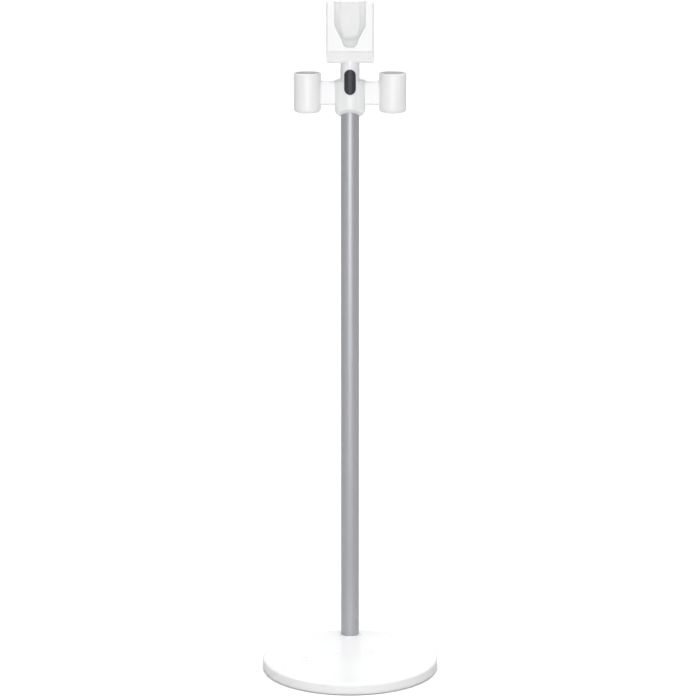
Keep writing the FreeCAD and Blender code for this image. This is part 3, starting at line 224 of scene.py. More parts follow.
def off_centre_disc(
    rows: Sequence[tuple[float, float, float, float]], hole: Array, segments: int
) -> Patch:
    """Round shell about the origin with a round hole off its centre.

    A row (inner radius, outer radius, share, height) gives the ring
    (1 - share) * (hole centre + inner radius * d) + share * (outer radius * u), where u is the
    unit vector at angle a and d points from the hole's centre towards the rim at angle a.

    Args:
        rows: The closed cross-section, in millimetres apart from share.
        hole: The hole's centre (x, y), in metres.
        segments: Steps of the angle a.

    Returns:
        The closed surface.
    """
    units = np.array([MM, MM, 1, MM])[:, None, None]
    inner, outer, share, height = np.array(rows, float).T[..., None] * units
    angle = np.arange(segments) * FULL_TURN / segments
    spoke = np.stack([np.cos(angle), np.sin(angle)], axis=-1)
    towards = spoke * outer.max() - hole
    towards /= np.linalg.norm(towards, axis=-1, keepdims=True)
    near = hole + inner[..., None] * towards
    far = outer[..., None] * spoke
    level = (1 - share[..., None]) * near + share[..., None] * far
    heights = np.broadcast_to(height[..., None], level.shape[:2] + (1,))
    return closed_grid(np.concatenate([level, heights], axis=-1), True)


@dataclass(frozen=True)
class Screw:
    """Screw with a round head that has a six-sided socket.

    Attributes:
        shank: Shank radius in millimetres.
        head: Head radius in millimetres.
        head_height: Head height in millimetres.
        length: Length under the head in millimetres.
        steps: Steps of the angle round the axis.
    """

    shank: float
    head: float
    head_height: float
    length: float
    steps: int = 48

    def surface(self, place: Array, axis: Axis) -> Patch:
        """Turned surface from the socket's floor over the head and down the shank to its tip.

        The socket's radius at angle a is its flat's distance / cos(a from the flat's middle).

        Args:
            place: Where the head's underside is, in metres.
            axis: Which way the shank points.

        Returns:
            The closed surface.
        """
        head, top, length = self.head, -self.head_height, self.length
        flat, floor, edge = head * 0.43, top * 0.4, head * 0.12
        thread = np.linspace(1.5, length - 1.2, max(int(length * 2), 4))
        depth = np.where(np.arange(len(thread)) % 2, -0.12, 0.0) * self.shank
        profile = [(0, floor, 0), (flat, floor, 1), (flat, top, 1), (flat * 1.25, top, 0)]
        profile += [(head - edge, top, 0), (head - edge * 0.3, top + edge * 0.3, 0)]
        profile += [(head, top + edge, 0), (head, -edge * 0.4, 0), (head - edge * 0.4, 0, 0)]
        profile += [(self.shank, 0, 0)]
        profile += [(self.shank + d, h, 0) for h, d in zip(thread, depth)]
        profile += [(self.shank * 0.6, length, 0), (0, length, 0)]
        radius, height, six_sided = np.array(profile).T[..., None]
        angle = np.arange(self.steps) * FULL_TURN / self.steps
        sixth = math.pi / 3
        from_flat = (angle % sixth) - sixth / 2
        radius = radius * np.where(six_sided > 0, 1 / np.cos(from_flat), 1.0) * MM
        points = np.stack(
            np.broadcast_arrays(radius * np.cos(angle), radius * np.sin(angle), height * MM), axis=-1
        )
        return closed_grid(aim(points, axis, place), False)


# ------------------------------------------------------------------ meshes and pieces


def read(items: object, key: str, width: int = 1, kind: type = np.int32) -> Array:
    """One property of all items of a mesh as a flat array, width numbers to an item."""
    values = np.empty(len(items) * width, kind)
    items.foreach_get(key, values)
    return values


def mark_bends(mesh: bpy.types.Mesh) -> None:
    """Stores at each point, as attribute bend, how sharply the surface turns there.

    The value is the widest angle between two faces that share an edge at the point, scaled so
    that BEND_START radians and less is 0 and BEND_FULL radians and more is 1.
    """
    loop_edge = read(mesh.loops, "edge_index")
    sides = read(mesh.polygons, "loop_total")
    normals = read(mesh.polygons, "normal", 3, np.float32).reshape(-1, 3)
    ends = read(mesh.edges, "vertices", 2).reshape(-1, 2)
    face = np.repeat(np.arange(len(sides)), sides)
    order = np.argsort(loop_edge, kind="stable")
    twice = loop_edge[order][1:] == loop_edge[order][:-1]
    first, second = face[order[:-1][twice]], face[order[1:][twice]]
    angle = np.arccos(np.clip((normals[first] * normals[second]).sum(axis=1), -1, 1))
    bend = np.zeros(len(mesh.vertices), np.float32)
    touched = ends[loop_edge[order][1:][twice]]
    np.maximum.at(bend, touched.ravel(), np.repeat(angle, 2))
    layer = mesh.attributes.new("bend", "FLOAT", "POINT")
    share = np.clip((bend - BEND_START) / (BEND_FULL - BEND_START), 0, 1)
    layer.data.foreach_set("value", share.astype(np.float32))


def tidy_mesh(mesh: bpy.types.Mesh, flat_angle: float, outward: bool) -> None:
    """Merges doubled points, joins flat neighbours if asked, and sets the shading.

    Args:
        mesh: The mesh to finish.
        flat_angle: Neighbours that differ by less than this angle become one face; 0 for none.
        outward: Whether the normals are worked out anew, to point outwards.
    """
    work = bmesh.new()
    work.from_mesh(mesh)
    bmesh.ops.remove_doubles(work, verts=work.verts, dist=MERGE_DISTANCE)
    bmesh.ops.dissolve_degenerate(work, edges=work.edges, dist=LOST_EDGE)
    if flat_angle > 0:
        bmesh.ops.dissolve_limit(
            work, angle_limit=flat_angle, verts=work.verts, edges=work.edges, delimit={"SHARP"}
        )
    if outward:
        bmesh.ops.recalc_face_normals(work, faces=work.faces)
    work.to_mesh(mesh)
    work.free()
    mesh.shade_smooth()
    mesh.set_sharp_from_angle(angle=SHARP_ANGLE)
    mark_bends(mesh)


@dataclass(frozen=True)
class Coat:
    """A finish as the pieces wear it: its material slot in the record and its material."""

    slot: Slot
    material: bpy.types.Material


def add_piece(
    name: str, patches: Sequence[Patch], coat: Coat, *nodes: str, body: str = STAND
) -> bpy.types.Object:
    """Makes one new piece of several closed surfaces that stands for CAD nodes.

    Args:
        name: The piece's name.
        patches: Its surfaces.
        coat: The finish whose material it gets.
        nodes: The CAD nodes that it stands for.
        body: The CAD body that it rides on.

    Returns:
        The new object.
    """
    starts = np.cumsum([0] + [len(p.points) for p in patches[:-1]])
    points = np.vstack([p.points for p in patches])
    faces = np.vstack([p.faces + start for p, start in zip(patches, starts)])
    mesh = bpy.data.meshes.new(name)
    mesh.from_pydata(points.tolist(), [], faces.tolist())
    tidy_mesh(mesh, 0, True)
    return register(mesh, name, coat, *nodes, body=body)


def new_object(name: str, data: bpy.types.ID) -> bpy.types.Object:
    """Object of the data, linked into the scene."""
    made = bpy.data.objects.new(name, data)
    bpy.context.scene.collection.objects.link(made)
    return made


def register(
    mesh: bpy.types.Mesh, name: str, coat: Coat, *nodes: str, body: str = STAND
) -> bpy.types.Object:
    """Puts a finished mesh into the scene as a piece, and returns its object."""
    mesh.materials.append(coat.material)
    piece = new_object(name, mesh)
    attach(piece, body)
    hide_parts(*nodes)
    log.info("%s: %d points, stands for %s", name, len(mesh.vertices), ", ".join(nodes))
    return piece


def softened_copy(node: str, name: str, coat: Coat, edge: float) -> bpy.types.Object:
    """Copies a moulding's surface as a new piece of the stand and rounds its edges.

    Args:
        node: The CAD node to copy.
        name: The piece's name.
        coat: The finish whose material it gets.
        edge: Width of the rounding in millimetres, or 0 for none.

    Returns:
        The new object.
    """
    source = frame["nodes"][node].data
    points = read(source.vertices, "co", 3, np.float32).reshape(-1, 3)
    sides = read(source.polygons, "loop_total")
    faces = np.split(read(source.loops, "vertex_index"), np.cumsum(sides)[:-1])
    mesh = bpy.data.meshes.new(name)
    mesh.from_pydata(points.tolist(), [], [f.tolist() for f in faces])
    tidy_mesh(mesh, FLAT_ANGLE if edge else 0, False)
    piece = register(mesh, name, coat, node)
    if edge:
        rounding = piece.modifiers.new("edges", "BEVEL")
        rounding.width = edge * MM
        rounding.segments = 3
        rounding.limit_method = "ANGLE"
        rounding.angle_limit = BEVEL_ANGLE
        rounding.harden_normals = False
        rounding.miter_outer = "MITER_ARC"
    weighting = piece.modifiers.new("shading", "WEIGHTED_NORMAL")
    weighting.keep_sharp = not edge
    return piece


# ------------------------------------------------------------------ shader building


class Bench:
    """A node tree with short ways to add and join nodes."""

    def __init__(self, tree: bpy.types.NodeTree) -> None:
        """Keeps the tree that nodes are added to."""
        self.tree = tree

    def node(self, kind: str, inputs: dict | None = None, **settings: object) -> bpy.types.Node:
        """Adds a node; inputs are joined if they are sockets and set if they are values."""
        made = self.tree.nodes.new(kind)
        for key, value in settings.items():
            setattr(made, key, value)
        for key, value in (inputs or {}).items():
            if isinstance(value, Socket):
                self.join(value, made.inputs[key])
            else:
                made.inputs[key].default_value = value
        return made

    def join(self, value: Socket, target: Socket) -> None:
        """Links an output to an input."""
        self.tree.links.new(value, target)

    def math(self, operation: str, first: object, second: object) -> Socket:
        """Result of a Math node on two sockets or numbers."""
        return self.node("ShaderNodeMath", {0: first, 1: second}, operation=operation).outputs[0]

    def product(self, value: object, *others: object) -> Socket:
        """All the values multiplied."""
        for other in others:
            value = self.math("MULTIPLY", value, other)
        return value

    def total(self, value: object, *others: object) -> Socket:
        """All the values added."""
        for other in others:
            value = self.math("ADD", value, other)
        return value

    def remap(
        self, value: object, low: float, high: float, to_low: float = 0.0, to_high: float = 1.0
    ) -> Socket:
        """Value carried from the range low..high to the range to_low..to_high, clamped."""
        inputs = {"Value": value, "From Min": low, "From Max": high, "To Min": to_low, "To Max": to_high}
        return self.node("ShaderNodeMapRange", inputs).outputs[0]

    def noise(self, vector: object, scale: object, detail: float = 2.0) -> Socket:
        """Noise value from 0 to 1."""
        inputs = {"Vector": vector, "Scale": scale, "Detail": detail}
        return self.node("ShaderNodeTexNoise", inputs).outputs[0]

    def stretched(self, vector: object, scale: Colour, turn: Colour = (0, 0, 0)) -> Socket:
        """The vector turned and then scaled by a different amount along each axis."""
        inputs = {"Vector": vector, "Scale": scale, "Rotation": turn}
        return self.node("ShaderNodeMapping", inputs).outputs[0]

    def blend(self, share: object, first: object, second: object) -> Socket:
        """Colour between two colours."""
        inputs = {0: share, 6: first, 7: second}
        return self.node("ShaderNodeMix", inputs, data_type="RGBA").outputs[2]


def solid(colour: Colour, scale: float = 1.0) -> tuple[float, float, float, float]:
    """Colour with full cover, made darker or lighter by scale."""
    return colour[0] * scale, colour[1] * scale, colour[2] * scale, 1.0


class Effects:
    """Node groups for the surface effects that several finishes share, each built once."""

    def __init__(self) -> None:
        """Builds the four groups."""
        self.grain = self._grain()
        self.dust = self._dust()
        self.scuffs = self._scuffs()
        self.wear = self._wear()

    @staticmethod
    def _start(
        name: str, inputs: Sequence[str], outputs: Sequence[str]
    ) -> tuple[Bench, dict[str, Socket], bpy.types.Node]:
        """New group that takes a place and numbers and gives numbers.

        Args:
            name: The group's name.
            inputs: Names of its inputs besides Place.
            outputs: Names of its outputs.

        Returns:
            Its bench, its input sockets by name, and its output node.
        """
        group = bpy.data.node_groups.new(name, "ShaderNodeTree")
        group.interface.new_socket("Place", in_out="INPUT", socket_type="NodeSocketVector")
        for label in inputs:
            group.interface.new_socket(label, in_out="INPUT", socket_type="NodeSocketFloat")
        for label in outputs:
            group.interface.new_socket(label, in_out="OUTPUT", socket_type="NodeSocketFloat")
        bench = Bench(group)
        entry = bench.node("NodeGroupInput")
        return bench, {s.name: s for s in entry.outputs}, bench.node("NodeGroupOutput")

    def _grain(self) -> bpy.types.NodeTree:
        """Fine moulded grain over slow waves of the surface, and a slow change of tone."""
        bench, given, out = self._start("moulded_grain", ("Fineness", "Waves"), ("Height", "Tone"))
        fine = bench.noise(given["Place"], given["Fineness"], 3.0)
        slow = bench.noise(given["Place"], given["Waves"], 1.0)
        tone = bench.noise(given["Place"], bench.product(given["Waves"], 0.12))
        bench.join(bench.total(bench.product(fine, 0.35), slow), out.inputs["Height"])
        bench.join(tone, out.inputs["Tone"])
        return bench.tree

    def _dust(self) -> bpy.types.NodeTree:
        """Thin dust that settles on surfaces that face up, in soft patches with fine specks."""
        bench, given, out = self._start("settled_dust", ("Amount",), ("Mask",))
        normal = bench.node("ShaderNodeNewGeometry").outputs["Normal"]
        facing = bench.remap(bench.node("ShaderNodeSeparateXYZ", {0: normal}).outputs[2], 0.45, 1.0)
        patches = bench.remap(bench.noise(given["Place"], 14.0, 4.0), 0.35, 0.75, 0.25, 1.0)
        specks = bench.remap(bench.noise(given["Place"], 2600.0, 1.0), 0.6, 0.78, 0.35, 1.0)
        mask = bench.product(patches, specks, facing, given["Amount"])
        bench.join(mask, out.inputs["Mask"])
        return bench.tree

    def _scuffs(self) -> bpy.types.NodeTree:
        """Hairline scuffs: thin crests of noise drawn out along three directions."""
        bench, given, out = self._start("hairline_scuffs", ("Amount",), ("Mask",))
        crests = []
        for turn in ((0.3, 0.2, 0.5), (1.1, 0.7, 2.1), (0.6, 1.9, 4.0)):
            drawn = bench.stretched(given["Place"], (900.0, 26.0, 60.0), turn)
            crests.append(bench.remap(bench.noise(drawn, 1.0, 1.0), 0.705, 0.74))
        highest = bench.math("MAXIMUM", bench.math("MAXIMUM", crests[0], crests[1]), crests[2])
        fading = bench.remap(bench.noise(given["Place"], 11.0), 0.5, 0.72)
        bench.join(bench.product(highest, fading, given["Amount"]), out.inputs["Mask"])
        return bench.tree

    def _wear(self) -> bpy.types.NodeTree:
        """Rubbed edges: where the surface bends sharply, broken up by noise."""
        bench, given, out = self._start("rubbed_edges", ("Amount",), ("Mask",))
        bend = bench.node("ShaderNodeAttribute", attribute_name="bend").outputs["Fac"]
        broken = bench.remap(bench.noise(given["Place"], 130.0, 3.0), 0.42, 0.62, 0.1, 1.0)
        bench.join(bench.product(bend, broken, given["Amount"]), out.inputs["Mask"])
        return bench.tree


class Surface(Bench):
    """Bench of a new material with one Principled shader and its Object coordinates."""

    def __init__(self, name: str, fixed: dict[str, object]) -> None:
        """Makes the material.

        Args:
            name: The material's name.
            fixed: Values that are the same all over, set on the shader's own sockets.
        """
        self.material = bpy.data.materials.new(name)
        self.material.use_nodes = True
        super().__init__(self.material.node_tree)
        self.shader = self.tree.nodes["Principled BSDF"]
        for key, value in fixed.items():
            self.shader.inputs[key].default_value = value
        self.place = self.node("ShaderNodeTexCoord").outputs["Object"]

    def effect(self, group: bpy.types.NodeTree, **inputs: object) -> dict[str, Socket]:
        """Puts a shared effect into the material and returns its output sockets by name."""
        made = self.node("ShaderNodeGroup", {"Place": self.place, **inputs}, node_tree=group)
        return {socket.name: socket for socket in made.outputs}

    def dress(
        self, colour: Socket, rough: Socket, height: Socket, strength: float, depth: float
    ) -> bpy.types.Material:
        """Joins the changing values to the shader.

        Args:
            colour: Base colour.
            rough: Roughness.
            height: Height of the relief.
            strength: How strongly the relief shows.
            depth: Depth of the relief in metres.

        Returns:
            The finished material.
        """
        relief = self.node("ShaderNodeBump", {"Strength": strength, "Distance": depth, "Height": height})
        self.join(colour, self.shader.inputs["Base Color"])
        self.join(rough, self.shader.inputs["Roughness"])
        self.join(relief.outputs[0], self.shader.inputs["Normal"])
        return self.material


@dataclass(frozen=True)
class Moulded:
    """Injection-moulded plastic or rubber.

    Attributes:
        name: Material name.
        colour: Colour of the bulk.
        gloss: Roughness where the surface is cleanest.
        matt: Roughness where it is dullest.
        fineness: Scale of the moulded grain.
        waves: Scale of the slow waves.
        relief: Depth of grain and waves in metres.
        dust: Cover of settled dust.
        scuffs: Strength of hairline scuffs.
        wear: Strength of rubbed edges.
        depth: Share of light scattered under the surface.
    """

    name: str
    colour: Colour
    gloss: float
    matt: float
    fineness: float
    waves: float
    relief: float
    dust: float = 0.12
    scuffs: float = 0.25
    wear: float = 0.3
    depth: float = 0.0

    def build(self, effects: Effects) -> bpy.types.Material:
        """Material whose colour and roughness follow tone, dust, scuffs and rubbed edges."""
        fixed = {"IOR": 1.49, "Subsurface Weight": self.depth, "Subsurface Scale": 0.002}
        bench = Surface(self.name, fixed)
        grain = bench.effect(effects.grain, Fineness=self.fineness, Waves=self.waves)
        dust = bench.effect(effects.dust, Amount=self.dust)["Mask"]
        scuffs = bench.effect(effects.scuffs, Amount=self.scuffs)["Mask"]
        wear = bench.effect(effects.wear, Amount=self.wear)["Mask"]
        tone = bench.remap(grain["Tone"], 0.3, 0.7)
        bulk = bench.blend(tone, solid(self.colour, 0.975), solid(self.colour, 1.02))
        worn = solid(self.colour, 1.12 if max(self.colour) < PALE else 0.95)
        colour = bench.blend(dust, bench.blend(wear, bulk, worn), solid(DUST))
        polish = bench.remap(grain["Tone"], 0.3, 0.7, self.gloss, self.matt)
        dulled = bench.product(bench.total(dust, scuffs), 0.3)
        rough = bench.total(polish, dulled, bench.product(wear, 0.15))
        height = bench.math("SUBTRACT", grain["Height"], bench.product(scuffs, 0.4))
        return bench.dress(colour, rough, height, 0.6, self.relief)


@dataclass(frozen=True)
class DrawnTube:
    """Satin anodised aluminium with fine lines along its length.

    Attributes:
        name: Material name.
        colour: Colour of the anodised metal.
        low: Least roughness.
        high: Greatest roughness.
        metallic: Share of bare metal; the rest is the matt oxide layer.
        across: Scale of the drawn lines round the tube.
        along: Scale of the drawn lines along the tube.
    """

    name: str
    colour: Colour
    low: float
    high: float
    metallic: float = 0.6
    across: float = 2200.0
    along: float = 7.0

    def build(self, effects: Effects) -> bpy.types.Material:
        """Material whose roughness, tone and relief follow long thin lines."""
        bench = Surface(self.name, {"Metallic": self.metallic, "Anisotropic": 0.35})
        fine = bench.stretched(bench.place, (self.across, self.across, self.along))
        lines = bench.noise(fine, 1.0, 3.0)
        broad = bench.noise(bench.stretched(bench.place, (240.0, 240.0, 2.0)), 1.0)
        blotch = bench.noise(bench.place, 22.0, 3.0)
        wear = bench.effect(effects.wear, Amount=0.6)["Mask"]
        scuffs = bench.effect(effects.scuffs, Amount=0.35)["Mask"]
        tone = bench.total(bench.product(lines, 0.5), bench.product(broad, 0.5))
        change = bench.remap(tone, 0.35, 0.65)
        metal = bench.blend(change, solid(self.colour, 0.95), solid(self.colour, 1.05))
        bright = bench.blend(bench.math("MAXIMUM", wear, scuffs), metal, solid(BARE_METAL))
        polish = bench.remap(tone, 0.3, 0.7, self.low, self.high)
        rough = bench.total(polish, bench.product(blotch, 0.05))
        height = bench.total(lines, bench.product(broad, 0.6))
        return bench.dress(bright, rough, height, 0.35, 2e-5)


@dataclass(frozen=True)
class Metal:
    """Plated, cast or coated metal of the fixings and hidden parts.

    Attributes:
        name: Material name.
        colour: Colour of the metal.
        rough: Middle roughness.
        metallic: 1 for bare metal, 0 for a coat.
        pits: Depth of the surface texture in metres.
        pit_scale: Scale of the surface texture.
    """

    name: str
    colour: Colour
    rough: float
    metallic: float
    pits: float
    pit_scale: float

    def build(self, effects: Effects) -> bpy.types.Material:
        """Material with cloudy plating, fine pits and rubbed edges."""
        bench = Surface(self.name, {"Metallic": self.metallic})
        grain = bench.effect(effects.grain, Fineness=self.pit_scale, Waves=self.pit_scale * 0.2)
        wear = bench.effect(effects.wear, Amount=0.5)["Mask"]
        cloud = bench.noise(bench.place, 170.0, 3.0)
        change = bench.remap(cloud, 0.35, 0.65)
        bulk = bench.blend(change, solid(self.colour, 0.85), solid(self.colour, 1.1))
        colour = bench.blend(wear, bulk, solid(self.colour, 1.35))
        rough = bench.remap(cloud, 0.3, 0.7, self.rough * 0.8, self.rough * 1.2)
        return bench.dress(colour, rough, grain["Height"], 0.5, self.pits)


FINISHES = {
    Slot.GLOSS: Moulded(
        "gloss_white_shell", (0.86, 0.862, 0.868), gloss=0.26, matt=0.34, fineness=1700.0, waves=95.0,
        relief=4e-5, dust=0.03, scuffs=0.0, wear=0.2, depth=0.05,
    ),
    Slot.SATIN: Moulded(
        "satin_white_moulding", (0.8, 0.802, 0.808), gloss=0.38, matt=0.5, fineness=1500.0, waves=300.0,
        relief=8e-5,
    ),
    Slot.TUBE: DrawnTube("satin_anodised_tube", (0.44, 0.445, 0.474), low=0.32, high=0.42),
    Slot.BUTTON: Moulded(
        "charcoal_button", (0.021, 0.022, 0.031), gloss=0.36, matt=0.48, fineness=2600.0, waves=700.0,
        relief=9e-5, dust=0.05, wear=0.5,
    ),
    Slot.NYLON: Moulded(
        "glass_filled_nylon", (0.09, 0.09, 0.095), gloss=0.45, matt=0.62, fineness=1900.0, waves=500.0,
        relief=1.2e-4,
    ),
    Slot.RUBBER: Moulded(
        "foot_rubber", (0.035, 0.035, 0.038), gloss=0.62, matt=0.8, fineness=1400.0, waves=420.0,
        relief=1.5e-4, scuffs=0.5,
    ),
    Slot.IRON: Metal("black_dipped_iron", (0.05, 0.05, 0.052), 0.55, 0.0, 3e-4, 420.0),
    Slot.CAST: Metal("cast_aluminium", (0.56, 0.56, 0.57), 0.42, 1.0, 2e-4, 900.0),
    Slot.STEEL: Metal("zinc_plated_steel", (0.6, 0.6, 0.62), 0.3, 1.0, 3e-5, 1600.0),
    Slot.PAD: Moulded(
        "soft_grey_pad", (0.2, 0.2, 0.21), gloss=0.7, matt=0.85, fineness=900.0, waves=260.0,
        relief=3e-4, dust=0.2,
    ),
}


# ------------------------------------------------------------------ the stand


@dataclass
class Base:
    """Weighted round base: cover, tray, feet and tray screws. Sizes in millimetres."""

    edge: float = 4.0
    wall: float = 3.0
    hole: float = 15.8
    hole_edge: float = 0.3
    lip: float = 0.5
    inner_round: float = 1.5
    tray_edge: float = 0.25
    rib_height: float = 3.0
    screw_recess: float = 1.2
    screw: Screw = Screw(1.6, 3.4, 1.2, 10.0)
    segments: int = 288
    boss_angles: tuple[float, ...] = (30.0, 150.0, 210.0, 270.0, 330.0)
    boss_circle: float = 100.0
    boss_radius: float = 4.5
    boss_edge: float = 0.4
    boss_sink: float = 0.5
    foot_count: int = 6
    foot_radius: float = 12.0
    sole_edge: float = 0.5
    grooves: tuple[float, ...] = (0.36, 0.66)
    groove_depth: float = 0.6
    groove_round: float = 0.2

    def __post_init__(self) -> None:
        """Takes the places of the nodes from the frame."""
        low, high = box("base_cover", MM)
        self.radius, self.cover_low, self.top = high[0], low[2], high[2]
        tray_low, tray_high = box("base_pan", MM)
        self.tray_low = tray_low[2]
        self.tray_top = tray_high[2] - self.rib_height
        tube_low, tube_high = box("tube")
        self.tube_place = (tube_low[:2] + tube_high[:2]) / 2
        feet_high = box("rubber_feet", MM)[1]
        self.foot_top = feet_high[2]
        self.foot_circle = feet_high[0] - self.foot_radius

    def _round_places(self, radius: float, angles: Sequence[float]) -> list[Array]:
        """Places on a circle about the base's centre, on the floor, in metres."""
        turn = np.radians(angles)
        ring = np.stack([np.cos(turn), np.sin(turn), np.zeros_like(turn)], axis=-1)
        return list(ring * radius * MM)

    def cover(self, coat: Coat) -> None:
        """Gloss lid: a thin shell with a rounded rim, a hole for the tube and five bosses.

        Its cross-section runs from the hole over the flat top, round the rim by a quarter turn,
        down the wall, back up the inside and along the underside to the hole.
        """
        rim, low, lip, turn = self.radius, self.cover_low, self.lip, self.inner_round
        flat_edge, inside = rim - self.edge, rim - self.wall
        under = self.top - self.wall
        rows = [(self.hole, flat_edge, 0, under), (self.hole, flat_edge, 0, self.top - self.hole_edge)]
        shares = 1 - np.linspace(1, 0, 9) ** 2
        rows += [(self.hole + self.hole_edge, flat_edge, share, self.top) for share in shares]
        quarter = np.linspace(0, math.pi / 2, 13)[1:]
        rim_up = self.top - self.edge + self.edge * np.cos(quarter)
        outline = list(zip(flat_edge + self.edge * np.sin(quarter), rim_up))
        outline += [(rim, low + 2 * lip), (rim, low + lip), (rim - 0.3 * lip, low + 0.3 * lip)]
        outline += [(rim - lip, low), (inside, low), (inside, under - turn)]
        outline += [(inside - 0.3 * turn, under - 0.3 * turn), (inside - turn, under)]
        rows += [(self.hole, radius, 1, height) for radius, height in outline]
        rows += [(self.hole, inside - turn, share, under) for share in (0.66, 0.33)]
        patches = [off_centre_disc(rows, self.tube_place, self.segments)]
        bottom, top = self.tray_top, under + self.boss_sink
        section = [(0, bottom, 0), (self.boss_radius, bottom, self.boss_edge)]
        boss = rounded_path([*section, (self.boss_radius, top, 0), (0, top, 0)], False)
        for place in self._round_places(self.boss_circle, self.boss_angles):
            patches.append(turned_surface(boss, place, segments=40))
        add_piece("base_cover_lid", patches, coat, "base_cover")

    def tray(self, coat: Coat) -> None:
        """Bottom tray with its screw recesses, its edges softened."""
        softened_copy("base_pan", "base_tray", coat, self.tray_edge)

    def feet(self, coat: Coat) -> None:
        """Six round pads with two grip grooves turned into each sole."""
        soft = self.groove_round
        sole = [(0, 0, 0)]
        for share in self.grooves:
            middle = self.foot_radius * share
            sole += [(middle - 0.7, 0, soft), (middle - 0.5, self.groove_depth, soft)]
            sole += [(middle + 0.5, self.groove_depth, soft), (middle + 0.7, 0, soft)]
        sole += [(self.foot_radius, 0, self.sole_edge), (self.foot_radius, self.foot_top, 0.2)]
        profile = rounded_path([*sole, (0, self.foot_top, 0)], False, 4)
        angles = np.arange(self.foot_count) * 360 / self.foot_count
        places = self._round_places(self.foot_circle, angles)
        patches = [turned_surface(profile, place, segments=72) for place in places]
        add_piece("grip_feet", patches, coat, "rubber_feet")

    def screws(self, coat: Coat) -> None:
        """Five screws from below into the cover's bosses."""
        rise = np.array([0, 0, (self.tray_low + self.screw_recess) * MM])
        places = self._round_places(self.boss_circle, self.boss_angles)
        patches = [self.screw.surface(place + rise, Axis.UP) for place in places]
        add_piece("tray_screws", patches, coat, "pan_screws")


@dataclass
class Post:
    """The round tube and the ring at its foot. Sizes in millimetres."""

    wall: float = 1.5
    end_round: float = 0.35
    lip_round: float = 0.8
    gap: float = 0.3
    skirt_wall: float = 1.4

    def __post_init__(self) -> None:
        """Takes the places of the nodes from the frame."""
        self.low, self.high = box("tube")
        self.axis = (self.low + self.high) / 2 * [1, 1, 0]
        self.radius = (self.high[0] - self.low[0]) / 2 / MM

    def tube(self, coat: Coat) -> None:
        """Tube turned from a thin upright strip with rounded ends."""
        inner = self.radius - self.wall
        low, high = self.low[2] / MM, self.high[2] / MM
        strip = [(inner, low, self.end_round), (self.radius, low, self.end_round)]
        strip += [(self.radius, high, self.end_round), (inner, high, self.end_round)]
        profile = rounded_path(strip, True, 4)
        surface = turned_surface(profile, self.axis, segments=128, loop=True)
        add_piece("upright_tube", [surface], coat, "tube")

    def ring(self, coat: Coat) -> None:
        """Trim ring: a low rounded lip on the cover, and a skirt through its hole."""
        low, high = box("tube_trim_ring", MM)
        lip, bore = (high[0] - low[0]) / 2, self.radius + self.gap
        skirt, seat = bore + self.skirt_wall, box("base_cover", MM)[1][2]
        section = [(bore, low[2], 0), (skirt, low[2], 0), (skirt, seat, 0), (lip, seat, 0.15)]
        section += [(lip, high[2], self.lip_round), (bore, high[2], self.gap)]
        profile = rounded_path(section, True, 6)
        surface = turned_surface(profile, self.axis, segments=128, loop=True)
        add_piece("foot_trim_ring", [surface], coat, "tube_trim_ring")


